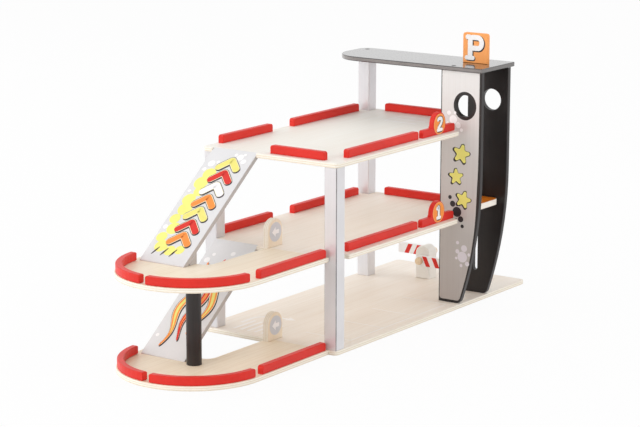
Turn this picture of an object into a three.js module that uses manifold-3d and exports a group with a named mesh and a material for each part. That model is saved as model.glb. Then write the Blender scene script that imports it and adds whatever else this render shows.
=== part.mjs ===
// Toy parking garage with a lift: three floors of birch plywood on square posts, two ramps that
// meet round landings, and a lift between the two tall panels of a tower.
//
// Millimetres, +Z up. The garage is drawn from the outer corner of its front left post: +X runs
// along the floors to the tower, +Y to the back. At the end the whole is centred over its base.

import * as THREE from 'three';
import Module from 'manifold-3d';
import { mergeVertices } from 'three/addons/utils/BufferGeometryUtils.js';

// Boards and floors
const board = 7; // plywood of the floors, ramps, roof and parking sign
const storey = 138.5; // from one floor's top to the next
const edgeRound = 0.7; // softened edges of boards and panels
const glueLine = 0.1; // between pieces that are glued or screwed together
const fit = 0.3; // round a post in its notch, and round screws and dowels

// Base and decks
const baseProud = 1; // the base stands out past the front left post
const baseLength = 542;
const baseDepth = 249;
const baseCorner = 7; // rounding of the base's corners in plan
const deckProud = 1.5; // front edge of the decks before the front left post
const deckLength = 434;
const deckDepth = 244;
const deckCorner = 8;
const deckTipCorner = 2;
const deckFrontRun = 330; // length of a deck's front edge, up to the tower
const postNotch = 31; // width of the notch of the first deck round the front left post
const towerNotch = 41.8; // depth of the decks' front corner that is left out for the tower

// Posts
const postSide = 21.5;
const postEdge = 1; // softened edges of the square posts
const backLeftInset = 4; // the back left post stands a little inside the corner
const tallPostInset = 1.5; // right face of the tall post inside the decks' right edge
const landingPostDiameter = 22;
const landingPostY = 126;

// Tracks with round landings
const trackLength = 283; // from the decks' left edge to the end of the round landing
const trackSetback = 12.5; // front edge of the track behind the front of the posts
const landingRadius = 112;
const landingStraight = 30; // straight stretch between the round end and the inner edge
const stripDepth = 110.5; // depth of the lane that joins the landing to the decks
const innerCorner = 15;
const landingCorner = 4;

// Ramps
const rampWidth = 80.5;
const rampFrontY = 143;
const rampSeat = 5; // depth of the seat for the ramp's top end in the deck's edge
const rampToeReach = 0.5; // the toe lies this far past the middle of the landing
const rampToe = 1.5; // thickness left at the toe
const wedgeReach = 30.5; // from a ramp's toe to the back of its wedge

// Kerbs
const kerbWidth = 10;
const kerbHeight = 12.5;
const kerbCorner = 3.5; // rounded top corners of a kerb's ends
const kerbEdge = 1.2;
const trackKerbInset = 1.5;
const trackKerbEnd = -5;
// The bent kerbs run between degrees round the landing's middle, and the straight one starts at a
// distance past it. They differ a little by floor
const trackKerbs = [
  { name: 'ground', leftArc: [93, 177], frontArc: [183, 268], straightStart: 13 },
  { name: 'level_1', leftArc: [93, 175], frontArc: [181, 262.5], straightStart: 9 },
];
const frontKerbY = 10;
const frontKerbStart = 45;
const frontKerbEnd = 232;
const leftKerbX = 9;
const leftKerbStart = 28.5;
const leftKerbEnd = 125;
const backKerbInset = 2.5;
const backLeftKerbStart = 34;
const backLeftKerbEnd = 160;
const backRightKerbStart = 215;
const backRightKerbGap = 14; // from its end to the tall post
const rightKerbInset = 2;
const rightKerbStart = 64;
const rightKerbEnd = 198;

// Kerbs with the floor numbers
const numberKerbThickness = 8;
const numberKerbHeight = 12;
const numberKerbY = 9;
const numberKerbStart = 242;
const numberKerbEnd = 333;
const numberHumpX = 288.3;
const numberHumpRadius = 17.7;
const numberHumpRise = 16.7; // from the deck to the middle of the round hump
const numberFillet = 3;

// Arrow signs
const arrowWidth = 35;
const arrowHeight = 42;
const arrowThickness = 10;
const groundArrowX = -16;
const groundArrowY = 110;
const upperArrowX = -6;
const upperArrowY = 117;

// Tower
const panel = 8; // thickness of the two tall panels
const towerGap = 12; // between the deck's front run and the inner panel
const shaftWidth = 71.5;
const panelHeight = 368.5;
const panelBackY = 40;
const panelReach = 33.2; // the panels' front edge stands out before the posts
const sweepRise = 208; // height above the base at which the front edge starts to sweep back
const sweepRadius = 650;
const footCorner = 9.5;
const windowRadius = 17;
const windowForward = 3.8; // middle of the round windows before the posts' front
const windowRise = 315; // above the base

// Roof
const roofOverLeft = 5;
const roofOverRight = 7.5;
const roofReach = 2.3; // the roof stands out before the panels' front edge
const roofLength = 283;
const roofRoundLeft = 50;
const roofRoundRight = 17;
const roofFrontCorner = 1.5;

// Parking sign
const signWidth = 44.5;
const signHeight = 47;
const signCorner = 4;
const signInset = 49.5; // from the roof's left edge to the sign's face
const signBackY = 28.8;

// Lift
const liftBoard = 9.5;
const liftRest = 149.8; // height of the platform's underside above the base, as it is left
const liftSideGap = 1;
const liftReach = 21.5; // front edge of the platform before the posts' front
const liftBackGap = 1.5;
const liftCorner = 11;
const slotWidth = 8.5;
const slotY = 21.65;
const slotLow = 36.6; // lower end of the slot above the base
const pinRise = 31; // middle of the pin above the platform
const liftTravelUp = 117.7; // from rest to level with the top floor
const pinPlay = 0.4; // round the pin in the slot
const bracketWidth = 20;
const bracketThickness = 10;
const bracketAbovePin = 10;
const washerDiameter = 20;
const washerThickness = 1.5;
const washerGap = 0.4;
const knobDiameter = 24;
const knobLength = 15;
const knobRound = 4;
const pinInKnob = 8;
const pinInBracket = 7;

// Barrier
const boothX = 448;
const boothThickness = 24;
const boothFrontY = 126.2;
const boothWidth = 26.4;
const boothHeight = 54.7;
const boothEdge = 1.5;
const boomHeight = 16.6;
const boomThickness = 7.5;
const boomReach = 63; // from the pivot to the tip
const boomTipCorner = 2;
const boomGap = 0.5; // between a boom and the booth, and between the boom and its peg's head
const nearBoomRise = 31.5; // pivot above the base
const farBoomRise = 40.5;
const pegDiameter = 8;
const pegHeadDiameter = 12.5;
const pegHeadLength = 6;
const pegInBooth = 8.5;
const pegPlay = 0.4;

// Fasteners
const screwHead = 7;
const screwRim = 0.5; // upright rim of a screw's head
const screwHeadDepth = 2.5;
const screwShank = 3.5;
const screwLength = 26;
const screwSink = 0.4; // heads sit this far below the surface
const panelScrewY = 20;
const dowelDiameter = 6;
const postDowelLength = 19;
const dowelInBoard = 4.5;
const seamDowelDiameter = 4;
const seamDowelLength = 24;

// Counts for round stretches
const landingSteps = 16;
const roundSteps = 8;
const cornerSteps = 3;
const sweepSteps = 10;
const circleSteps = 28;
const smallCircleSteps = 16;

// One length by which every cutter passes the surface it cuts
const overrun = 2;
const mergeTolerance = 0.0001;

// Heights and places that follow from the sizes above
const floorZ = [board, board + storey, board + storey + storey];
const baseLeft = -baseProud;
const baseFront = -baseProud;
const baseRight = baseLeft + baseLength;
const baseBack = baseFront + baseDepth;
const deckLeft = -baseProud;
const deckFront = -deckProud;
const deckRight = deckLeft + deckLength;
const deckBack = deckFront + deckDepth;
const deckTip = deckLeft + deckFrontRun;
const towerNotchY = deckFront + towerNotch;
const innerPanelX = deckTip + towerGap;
const shaftLeft = innerPanelX + panel;
const outerPanelX = shaftLeft + shaftWidth;
const outerPanelFace = outerPanelX + panel;
const backPostY = deckBack - postSide;
const tallPostX = deckRight - tallPostInset - postSide;
const trackFront = trackSetback;
const trackLeft = deckLeft - trackLength;
const landingX = trackLeft + landingRadius;
const landingY = trackFront + landingRadius;
const rampToeX = landingX - rampToeReach;
const wedgeBackX = rampToeX + wedgeReach;
const backRightKerbEnd = tallPostX - backRightKerbGap;
const panelTop = board + panelHeight;
const roofTop = panelTop + board;
const roofLeft = innerPanelX - roofOverLeft;
const roofFront = -panelReach - roofReach;
const windowZ = board + windowRise;
const liftBottom = board + liftRest;
const liftTop = liftBottom + liftBoard;
const pinZ = liftTop + pinRise;
const slotFrontY = slotY - slotWidth / 2;
const slotBottom = board + slotLow;
const slotTop = pinZ + liftTravelUp + slotWidth / 2;

// Colours and finishes
const finishes = {
  birch: { color: 0xe6d9c6, roughness: 0.6 },
  birchTrack: { color: 0xe8d7b8, roughness: 0.6 },
  silver: { color: 0xd9dadc, roughness: 0.45 },
  black: { color: 0x262122, roughness: 0.35 },
  gloss: { color: 0x1e1a1b, roughness: 0.15 },
  red: { color: 0xd62a22, roughness: 0.4 },
  orange: { color: 0xf08a24, roughness: 0.4 },
  booth: { color: 0xcdc8c3, roughness: 0.5 },
  boom: { color: 0xf4f2ef, roughness: 0.4 },
  dowel: { color: 0xe2c093, roughness: 0.55 },
  steel: { color: 0x8d8f92, roughness: 0.3, metalness: 0.9 },
  felt: { color: 0x6f6a66, roughness: 0.9 },
};

// Solids that can be joined and cut
const wasm = await Module();
wasm.setup();

function toSolid(geometry) {
  const bare = geometry.clone();
  bare.deleteAttribute('normal');
  bare.deleteAttribute('uv');
  const merged = mergeVertices(bare, mergeTolerance);
  const corners = merged.index.array;
  const faces = [];
  for (let at = 0; at < corners.length; at += 3) {
    const [a, b, c] = corners.slice(at, at + 3);
    if (a !== b && b !== c && c !== a) {
      faces.push(a, b, c);
    }
  }
  const mesh = new wasm.Mesh({
    numProp: 3,
    vertProperties: Float32Array.from(merged.attributes.position.array),
    triVerts: Uint32Array.from(faces),
  });
  return new wasm.Manifold(mesh);
}

function toGeometry(solid) {
  const mesh = solid.getMesh();
  const geometry = new THREE.BufferGeometry();
  geometry.setAttribute('position', new THREE.BufferAttribute(mesh.vertProperties, 3));
  geometry.setIndex(new THREE.BufferAttribute(mesh.triVerts, 1));
  geometry.computeVertexNormals();
  return geometry;
}

function cut(geometry, cutters) {
  let solid = toSolid(geometry);
  for (const cutter of cutters) {
    solid = solid.subtract(toSolid(cutter));
  }
  return toGeometry(solid);
}

// Outlines: each corner is [x, y, radius, steps], and a corner without a radius stays sharp
function outline(corners) {
  const points = [];
  const count = corners.length;
  corners.forEach(([x, y, radius = 0, steps = cornerSteps], index) => {
    const corner = new THREE.Vector2(x, y);
    if (radius === 0) {
      points.push(corner);
      return;
    }
    const before = corners[(index + count - 1) % count];
    const after = corners[(index + 1) % count];
    const back = new THREE.Vector2(before[0], before[1]).sub(corner).normalize();
    const ahead = new THREE.Vector2(after[0], after[1]).sub(corner).normalize();
    const half = Math.acos(THREE.MathUtils.clamp(back.dot(ahead), -1, 1)) / 2;
    const middle = back.clone().add(ahead).normalize().multiplyScalar(radius / Math.sin(half)).add(corner);
    const start = back.clone().multiplyScalar(radius / Math.tan(half)).add(corner).sub(middle);
    const turn = Math.PI - 2 * half;
    const side = Math.sign(back.cross(ahead)) || 1;
    for (let step = 0; step <= steps; step += 1) {
      const arm = start.clone().rotateAround(new THREE.Vector2(), -side * (turn * step) / steps);
      points.push(arm.add(middle));
    }
  });
  const gapAfter = (point, index) => point.distanceTo(points[(index + 1) % points.length]);
  return points.filter((point, index) => gapAfter(point, index) > mergeTolerance);
}

function rectangle(x0, y0, x1, y1, radius = 0, steps = cornerSteps) {
  return [
    [x0, y0, radius, steps],
    [x1, y0, radius, steps],
    [x1, y1, radius, steps],
    [x0, y1, radius, steps],
  ];
}

// A plate of an outline, lying on z = 0 in its own frame, with softened edges
function plate(points, thickness, soft = edgeRound) {
  const geometry = new THREE.ExtrudeGeometry(new THREE.Shape(points), {
    depth: thickness - 2 * soft,
    bevelEnabled: soft > 0,
    bevelThickness: soft,
    bevelSize: soft,
    bevelOffset: -soft,
    bevelSegments: 1,
    curveSegments: circleSteps,
  });
  geometry.translate(0, 0, soft);
  return geometry;
}

// Turns for plates that stand: their outline is drawn in Y and Z, or in X and Z
const standAcross = new THREE.Matrix4().makeBasis(
  new THREE.Vector3(0, 1, 0),
  new THREE.Vector3(0, 0, 1),
  new THREE.Vector3(1, 0, 0),
);
const standAlong = new THREE.Matrix4().makeBasis(
  new THREE.Vector3(1, 0, 0),
  new THREE.Vector3(0, 0, 1),
  new THREE.Vector3(0, -1, 0),
);

// A plate whose outline lies in Y and Z and that grows from x in +X
function acrossPlate(points, x, thickness, soft = edgeRound) {
  return plate(points, thickness, soft).applyMatrix4(standAcross).translate(x, 0, 0);
}

// A plate whose outline lies in X and Z and that grows from y in +Y
function alongPlate(points, y, thickness, soft = edgeRound) {
  return plate(points, thickness, soft).applyMatrix4(standAlong).translate(0, y + thickness, 0);
}

// Round bars along Z and along X, from a lower end
function barUp(diameter, length, x, y, z, steps = smallCircleSteps) {
  const bar = new THREE.CylinderGeometry(diameter / 2, diameter / 2, length, steps);
  return bar.rotateX(Math.PI / 2).translate(x, y, z + length / 2);
}

function barAcross(diameter, length, x, y, z, steps = smallCircleSteps) {
  const bar = new THREE.CylinderGeometry(diameter / 2, diameter / 2, length, steps);
  return bar.rotateZ(Math.PI / 2).translate(x + length / 2, y, z);
}

// A body of revolution about X: each point is [radius, x]
function turnedAcross(profile, x, y, z, steps = circleSteps) {
  const points = profile.map(([radius, along]) => new THREE.Vector2(radius, along));
  const lathe = new THREE.LatheGeometry(points, steps);
  return lathe.rotateZ(-Math.PI / 2).translate(x, y, z);
}

const garage = new THREE.Group();

function piece(group, name, geometry, finishName) {
  const material = new THREE.MeshStandardMaterial({ ...finishes[finishName] });
  const mesh = new THREE.Mesh(cut(geometry, []), material);
  mesh.name = name;
  group.add(mesh);
  return mesh;
}

// Screws: a countersunk head at the surface and a shank that points up, or down from the roof
function screwShape(extra, start, { x, y, z, down }) {
  const head = screwHead / 2 + extra;
  const shank = screwShank / 2 + extra;
  const bar = new THREE.LatheGeometry([
    new THREE.Vector2(0, start),
    new THREE.Vector2(head, start),
    new THREE.Vector2(head, screwSink + screwRim + extra),
    new THREE.Vector2(shank, screwSink + screwHeadDepth + extra),
    new THREE.Vector2(shank, screwLength + extra),
    new THREE.Vector2(0, screwLength + shank + extra),
  ], smallCircleSteps).rotateX(Math.PI / 2);
  return (down ? bar.rotateX(Math.PI) : bar).translate(x, y, z);
}

function screwAt(place) {
  return screwShape(0, screwSink, place);
}

function screwHole(place) {
  return screwShape(fit, -overrun, place);
}

const middleOfPost = postSide / 2;
const baseScrews = {
  front_left_post_screw: { x: middleOfPost, y: middleOfPost, z: 0 },
  back_left_post_screw: { x: backLeftInset + middleOfPost, y: backPostY + middleOfPost, z: 0 },
  back_right_post_screw: { x: tallPostX + middleOfPost, y: backPostY + middleOfPost, z: 0 },
  inner_panel_screw: { x: innerPanelX + panel / 2, y: panelScrewY, z: 0 },
  outer_panel_screw: { x: outerPanelX + panel / 2, y: panelScrewY, z: 0 },
};
const trackScrews = { landing_post_screw: { x: landingX, y: landingPostY, z: 0 } };
const roofScrews = {
  roof_screw_inner: { x: innerPanelX + panel / 2, y: panelScrewY, z: roofTop, down: true },
  roof_screw_outer: { x: outerPanelX + panel / 2, y: panelScrewY, z: roofTop, down: true },
  roof_screw_post: { x: tallPostX + middleOfPost, y: backPostY + middleOfPost, z: roofTop, down: true },
};

// Dowels stand in a post's top and enter the board above it, or join two boards edge to edge
const postDowels = {
  front_left_post_dowel: { x: middleOfPost, y: middleOfPost, boardZ: floorZ[2] - board },
  back_left_post_dowel: {
    x: backLeftInset + middleOfPost,
    y: backPostY + middleOfPost,
    boardZ: floorZ[2] - board,
  },
  landing_post_dowel: { x: landingX, y: landingPostY, boardZ: floorZ[1] - board },
};

function postDowel({ x, y, boardZ }, extra) {
  const start = boardZ + dowelInBoard - postDowelLength - extra;
  return barUp(dowelDiameter + 2 * extra, postDowelLength + 2 * extra, x, y, start);
}

const seamY = trackFront + stripDepth / 2;
const seamX = deckLeft - glueLine / 2;

function seamDowel(z, extra) {
  const length = seamDowelLength + 2 * extra;
  const middle = z - board / 2;
  return barAcross(seamDowelDiameter + 2 * extra, length, seamX - length / 2, seamY, middle);
}

function holesFor(screws) {
  return Object.values(screws).map((place) => screwHole(place));
}

// Floors
function deckCorners({ roundPosts }) {
  const seatX = deckLeft + rampSeat;
  const front = roundPosts
    ? [
      [deckLeft, postSide + fit],
      [postNotch, postSide + fit],
      [postNotch, deckFront, deckTipCorner],
    ]
    : [[deckLeft, deckFront, deckCorner]];
  const back = roundPosts
    ? [
      [backLeftInset + postSide + fit, deckBack],
      [backLeftInset + postSide + fit, backPostY - fit],
      [seatX, backPostY - fit],
    ]
    : [
      [deckLeft, deckBack, deckCorner],
      [deckLeft, rampFrontY + rampWidth + fit],
      [seatX, rampFrontY + rampWidth + fit],
    ];
  return [
    ...front,
    [deckTip, deckFront, deckTipCorner],
    [deckTip, towerNotchY],
    [deckRight, towerNotchY, deckTipCorner],
    [deckRight, backPostY - fit],
    [tallPostX - fit, backPostY - fit],
    [tallPostX - fit, deckBack],
    ...back,
    [seatX, rampFrontY - fit],
    [deckLeft, rampFrontY - fit],
  ];
}

function trackCorners() {
  const right = deckLeft - glueLine;
  const innerX = landingX + landingStraight;
  return [
    [right, trackFront],
    [right, trackFront + stripDepth],
    [innerX, trackFront + stripDepth, innerCorner, cornerSteps + cornerSteps],
    [innerX, trackFront + 2 * landingRadius, landingCorner],
    [trackLeft, trackFront + 2 * landingRadius, landingRadius, landingSteps],
    [trackLeft, trackFront, landingRadius, landingSteps],
  ];
}

function floors() {
  const group = new THREE.Group();
  const base = plate(outline(rectangle(baseLeft, baseFront, baseRight, baseBack, baseCorner)), board);
  piece(group, 'base_board', cut(base, [...holesFor(baseScrews), seamDowel(floorZ[0], fit)]), 'birch');

  const track = plate(outline(trackCorners()), board);
  const groundTrack = cut(track, [...holesFor(trackScrews), seamDowel(floorZ[0], fit)]);
  piece(group, 'ground_track', groundTrack, 'birchTrack');

  const upperTrack = track.clone().translate(0, 0, floorZ[1] - board);
  const trackCutters = [postDowel(postDowels.landing_post_dowel, fit), seamDowel(floorZ[1], fit)];
  piece(group, 'level_1_track', cut(upperTrack, trackCutters), 'birchTrack');

  const deckOne = plate(outline(deckCorners({ roundPosts: true })), board);
  deckOne.translate(0, 0, floorZ[1] - board);
  piece(group, 'level_1_deck', cut(deckOne, [seamDowel(floorZ[1], fit)]), 'birch');

  const deckTwo = plate(outline(deckCorners({ roundPosts: false })), board);
  deckTwo.translate(0, 0, floorZ[2] - board);
  const dowels = [
    postDowel(postDowels.front_left_post_dowel, fit),
    postDowel(postDowels.back_left_post_dowel, fit),
  ];
  piece(group, 'level_2_deck', cut(deckTwo, dowels), 'birch');
  return group;
}

// Posts
function squarePost(x, y, height, cutters) {
  const side = outline(rectangle(x, y, x + postSide, y + postSide, postEdge, 1));
  const post = plate(side, height - 2 * glueLine, postEdge / 2).translate(0, 0, board + glueLine);
  return cut(post, cutters);
}

function posts() {
  const group = new THREE.Group();
  const underTop = floorZ[2] - board - board;
  const frontCutters = [
    screwHole(baseScrews.front_left_post_screw),
    postDowel(postDowels.front_left_post_dowel, fit),
  ];
  piece(group, 'front_left_post', squarePost(0, 0, underTop, frontCutters), 'silver');

  const backCutters = [
    screwHole(baseScrews.back_left_post_screw),
    postDowel(postDowels.back_left_post_dowel, fit),
  ];
  piece(group, 'back_left_post', squarePost(backLeftInset, backPostY, underTop, backCutters), 'silver');

  const tallCutters = [
    screwHole(baseScrews.back_right_post_screw),
    screwHole(roofScrews.roof_screw_post),
  ];
  piece(group, 'back_right_post', squarePost(tallPostX, backPostY, panelHeight, tallCutters), 'silver');

  const landingHeight = storey - board - 2 * glueLine;
  const foot = board + glueLine;
  const round = barUp(landingPostDiameter, landingHeight, landingX, landingPostY, foot, circleSteps);
  const landingCutters = [
    screwHole(trackScrews.landing_post_screw),
    postDowel(postDowels.landing_post_dowel, fit),
  ];
  piece(group, 'landing_post', cut(round, landingCutters), 'black');
  return group;
}

// Ramps: a sloping board whose toe lies flat, with a wedge glued under it
function rampOutline() {
  const topX = deckLeft + rampSeat - fit;
  const slope = (storey - rampToe) / (topX - rampToeX);
  const drop = board * Math.sqrt(1 + slope * slope);
  const flatEnd = rampToeX + (drop - rampToe) / slope;
  return { topX, slope, drop, flatEnd };
}

function rampBoard(z) {
  const { topX, drop, flatEnd } = rampOutline();
  const side = outline([
    [rampToeX, z + glueLine],
    [flatEnd, z + glueLine],
    [topX, z + storey - drop],
    [topX, z + storey],
    [rampToeX, z + rampToe],
  ]);
  return alongPlate(side, rampFrontY, rampWidth, edgeRound / 2);
}

function rampWedge(z) {
  const { slope, drop } = rampOutline();
  const underside = (x) => rampToe + slope * (x - rampToeX) - drop - fit;
  const start = rampToeX + (drop + fit + board / 2 - rampToe) / slope;
  const side = outline([
    [start, z + glueLine],
    [wedgeBackX, z + glueLine],
    [wedgeBackX, z + underside(wedgeBackX)],
    [start, z + underside(start)],
  ]);
  return alongPlate(side, rampFrontY, rampWidth, edgeRound / 2);
}

function ramps() {
  const group = new THREE.Group();
  piece(group, 'lower_ramp', rampBoard(floorZ[0]), 'silver');
  piece(group, 'lower_ramp_wedge', rampWedge(floorZ[0]), 'silver');
  piece(group, 'upper_ramp', rampBoard(floorZ[1]), 'silver');
  piece(group, 'upper_ramp_wedge', rampWedge(floorZ[1]), 'silver');
  return group;
}

// Kerbs
function kerbSide(start, end, z) {
  const low = z + glueLine;
  const high = z + kerbHeight;
  return outline([
    [start, low],
    [end, low],
    [end, high, kerbCorner],
    [start, high, kerbCorner],
  ]);
}

function kerbAlong(start, end, y, z) {
  return alongPlate(kerbSide(start, end, z), y, kerbWidth, kerbEdge);
}

function kerbAcross(start, end, x, z) {
  return acrossPlate(kerbSide(start, end, z), x, kerbWidth, kerbEdge);
}

function kerbArc([fromDegrees, toDegrees], z) {
  const outer = landingRadius - trackKerbInset;
  const inner = outer - kerbWidth;
  const angleAt = (step) => {
    const degrees = fromDegrees + ((toDegrees - fromDegrees) * step) / landingSteps;
    return THREE.MathUtils.degToRad(degrees);
  };
  const pointAt = (radius, angle) => new THREE.Vector2(
    landingX + radius * Math.cos(angle),
    landingY + radius * Math.sin(angle),
  );
  const points = [];
  for (let step = 0; step <= landingSteps; step += 1) {
    points.push(pointAt(outer, angleAt(step)));
  }
  for (let step = landingSteps; step >= 0; step -= 1) {
    points.push(pointAt(inner, angleAt(step)));
  }
  return plate(points, kerbHeight - glueLine, kerbEdge).translate(0, 0, z + glueLine);
}

function numberKerb(z) {
  const low = z + glueLine;
  const high = z + numberKerbHeight;
  const humpZ = z + numberHumpRise;
  const sunk = numberHumpRise - numberKerbHeight;
  const spread = Math.sqrt(numberHumpRadius ** 2 - sunk ** 2);
  const startAngle = -Math.atan2(sunk, spread);
  const hump = [];
  const steps = roundSteps + roundSteps;
  for (let step = 0; step <= steps; step += 1) {
    const angle = startAngle + ((Math.PI - 2 * startAngle) * step) / steps;
    hump.push([
      numberHumpX + numberHumpRadius * Math.cos(angle),
      humpZ + numberHumpRadius * Math.sin(angle),
    ]);
  }
  const side = outline([
    [numberKerbStart, low],
    [numberKerbEnd, low],
    [numberKerbEnd, high, kerbCorner],
    [numberHumpX + spread + numberFillet, high],
    ...hump.slice(1, -1),
    [numberHumpX - spread - numberFillet, high],
    [numberKerbStart, high, kerbCorner],
  ]);
  return alongPlate(side, numberKerbY, numberKerbThickness, edgeRound);
}

function kerbs() {
  const group = new THREE.Group();
  const trackY = trackFront + trackKerbInset;
  const backY = deckBack - backKerbInset - kerbWidth;
  const rightX = deckRight - rightKerbInset - kerbWidth;
  trackKerbs.forEach(({ name, leftArc, frontArc, straightStart }, level) => {
    const z = floorZ[level];
    const start = landingX + straightStart;
    piece(group, `${name}_kerb_left_arc`, kerbArc(leftArc, z), 'red');
    piece(group, `${name}_kerb_front_arc`, kerbArc(frontArc, z), 'red');
    piece(group, `${name}_track_kerb`, kerbAlong(start, trackKerbEnd, trackY, z), 'red');
  });
  for (const level of [1, 2]) {
    const z = floorZ[level];
    const name = `level_${level}_kerb`;
    piece(group, `${name}_front`, kerbAlong(frontKerbStart, frontKerbEnd, frontKerbY, z), 'red');
    piece(group, `${name}_back_left`, kerbAlong(backLeftKerbStart, backLeftKerbEnd, backY, z), 'red');
    piece(group, `${name}_back_right`, kerbAlong(backRightKerbStart, backRightKerbEnd, backY, z), 'red');
    piece(group, `${name}_right`, kerbAcross(rightKerbStart, rightKerbEnd, rightX, z), 'red');
    piece(group, `number_kerb_${level}`, numberKerb(z), 'red');
  }
  piece(group, 'level_2_kerb_left', kerbAcross(leftKerbStart, leftKerbEnd, leftKerbX, floorZ[2]), 'red');
  return group;
}

// Arrow signs with a round top
function arrowSign(x, y, z) {
  const low = z + glueLine;
  const round = arrowWidth / 2;
  const side = outline([
    [x, low],
    [x + arrowWidth, low],
    [x + arrowWidth, z + arrowHeight, round, roundSteps],
    [x, z + arrowHeight, round, roundSteps],
  ]);
  return alongPlate(side, y, arrowThickness, edgeRound);
}

function arrowSigns() {
  const group = new THREE.Group();
  piece(group, 'ground_arrow_sign', arrowSign(groundArrowX, groundArrowY, floorZ[0]), 'dowel');
  piece(group, 'level_1_arrow_sign', arrowSign(upperArrowX, upperArrowY, floorZ[1]), 'dowel');
  return group;
}

// Tower
function panelOutline() {
  const low = board + glueLine;
  const high = panelTop - glueLine;
  const sweepZ = board + sweepRise;
  const middleY = sweepRadius - panelReach;
  const last = Math.asin((sweepZ - low) / sweepRadius);
  const sweep = [];
  for (let step = 0; step <= sweepSteps; step += 1) {
    const angle = (last * step) / sweepSteps;
    const radius = step === sweepSteps ? footCorner : 0;
    sweep.push([
      middleY - sweepRadius * Math.cos(angle),
      sweepZ - sweepRadius * Math.sin(angle),
      radius,
    ]);
  }
  return outline([[panelBackY, high], [-panelReach, high], ...sweep, [panelBackY, low]]);
}

function towerPanel(x, cutters) {
  const start = x - overrun;
  const length = panel + 2 * overrun;
  const window = barAcross(2 * windowRadius, length, start, -windowForward, windowZ, circleSteps);
  return cut(acrossPlate(panelOutline(), x, panel), [window, ...cutters]);
}

function slotCutter() {
  const slot = outline(rectangle(
    slotFrontY,
    slotBottom,
    slotFrontY + slotWidth,
    slotTop,
    slotWidth / 2,
    roundSteps,
  ));
  return acrossPlate(slot, outerPanelX - overrun, panel + 2 * overrun, 0);
}

function roofOutline() {
  const right = outerPanelFace + roofOverRight;
  const back = roofFront + roofLength;
  return outline([
    [roofLeft, roofFront, roofFrontCorner],
    [right, roofFront, roofFrontCorner],
    [right, back, roofRoundRight, roundSteps],
    [roofLeft, back, roofRoundLeft, landingSteps],
  ]);
}

function signOutline() {
  const low = roofTop + glueLine;
  return outline([
    [signBackY - signWidth, low],
    [signBackY, low],
    [signBackY, low + signHeight, signCorner],
    [signBackY - signWidth, low + signHeight, signCorner],
  ]);
}

function tower() {
  const group = new THREE.Group();
  const innerCutters = [screwHole(baseScrews.inner_panel_screw), screwHole(roofScrews.roof_screw_inner)];
  piece(group, 'tower_inner_panel', towerPanel(innerPanelX, innerCutters), 'black');

  const outerCutters = [
    screwHole(baseScrews.outer_panel_screw),
    screwHole(roofScrews.roof_screw_outer),
    slotCutter(),
  ];
  piece(group, 'tower_outer_panel', towerPanel(outerPanelX, outerCutters), 'black');

  const roof = plate(roofOutline(), board).translate(0, 0, panelTop);
  piece(group, 'tower_roof', cut(roof, holesFor(roofScrews)), 'gloss');

  piece(group, 'parking_sign', acrossPlate(signOutline(), roofLeft + signInset, board), 'orange');
  return group;
}

// Lift: a platform with an upright bracket, whose pin runs in the slot and carries a knob outside
function lift() {
  const group = new THREE.Group();
  const left = shaftLeft + liftSideGap;
  const right = outerPanelX - liftSideGap;
  const front = -liftReach;
  const back = towerNotchY - liftBackGap;
  const deck = plate(outline(rectangle(left, front, right, back, liftCorner, roundSteps)), liftBoard);
  piece(group, 'lift_platform', deck.translate(0, 0, liftBottom), 'orange');

  const bracketX = right - bracketThickness;
  const bracketTop = pinZ + bracketAbovePin;
  const bracketLeftY = slotY - bracketWidth / 2;
  const bracketSide = outline([
    [bracketLeftY, liftTop + glueLine],
    [bracketLeftY + bracketWidth, liftTop + glueLine],
    [bracketLeftY + bracketWidth, bracketTop, bracketWidth / 2, roundSteps],
    [bracketLeftY, bracketTop, bracketWidth / 2, roundSteps],
  ]);
  const bracket = acrossPlate(bracketSide, bracketX, bracketThickness);
  const pinDiameter = slotWidth - 2 * pinPlay;
  const holeStart = right - pinInBracket;
  const hole = barAcross(pinDiameter + 2 * glueLine, pinInBracket + overrun, holeStart, slotY, pinZ);
  piece(group, 'lift_bracket', cut(bracket, [hole]), 'birch');

  const washerX = outerPanelFace + washerGap;
  const knobX = washerX + washerThickness + glueLine;
  const pinStart = holeStart + glueLine;
  const pinEnd = knobX + pinInKnob - glueLine;
  const pin = barAcross(pinDiameter, pinEnd - pinStart, pinStart, slotY, pinZ);
  piece(group, 'lift_pin', pin, 'dowel');

  const washerBore = pinDiameter / 2 + glueLine;
  const washer = turnedAcross([
    [washerBore, 0],
    [washerDiameter / 2, 0],
    [washerDiameter / 2, washerThickness],
    [washerBore, washerThickness],
    [washerBore, 0],
  ], washerX, slotY, pinZ);
  piece(group, 'lift_washer', washer, 'felt');

  const rim = knobDiameter / 2;
  const knobEnd = [];
  for (let step = 0; step <= cornerSteps; step += 1) {
    const angle = (Math.PI / 2) * (step / cornerSteps);
    const out = rim - knobRound + knobRound * Math.cos(angle);
    const along = knobLength - knobRound + knobRound * Math.sin(angle);
    knobEnd.push([out, along]);
  }
  const knob = turnedAcross([
    [0, pinInKnob],
    [washerBore, pinInKnob],
    [washerBore, 0],
    [rim - edgeRound, 0],
    [rim, edgeRound],
    ...knobEnd,
    [0, knobLength],
  ], knobX, slotY, pinZ);
  piece(group, 'lift_knob', knob, 'dowel');
  return group;
}

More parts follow.
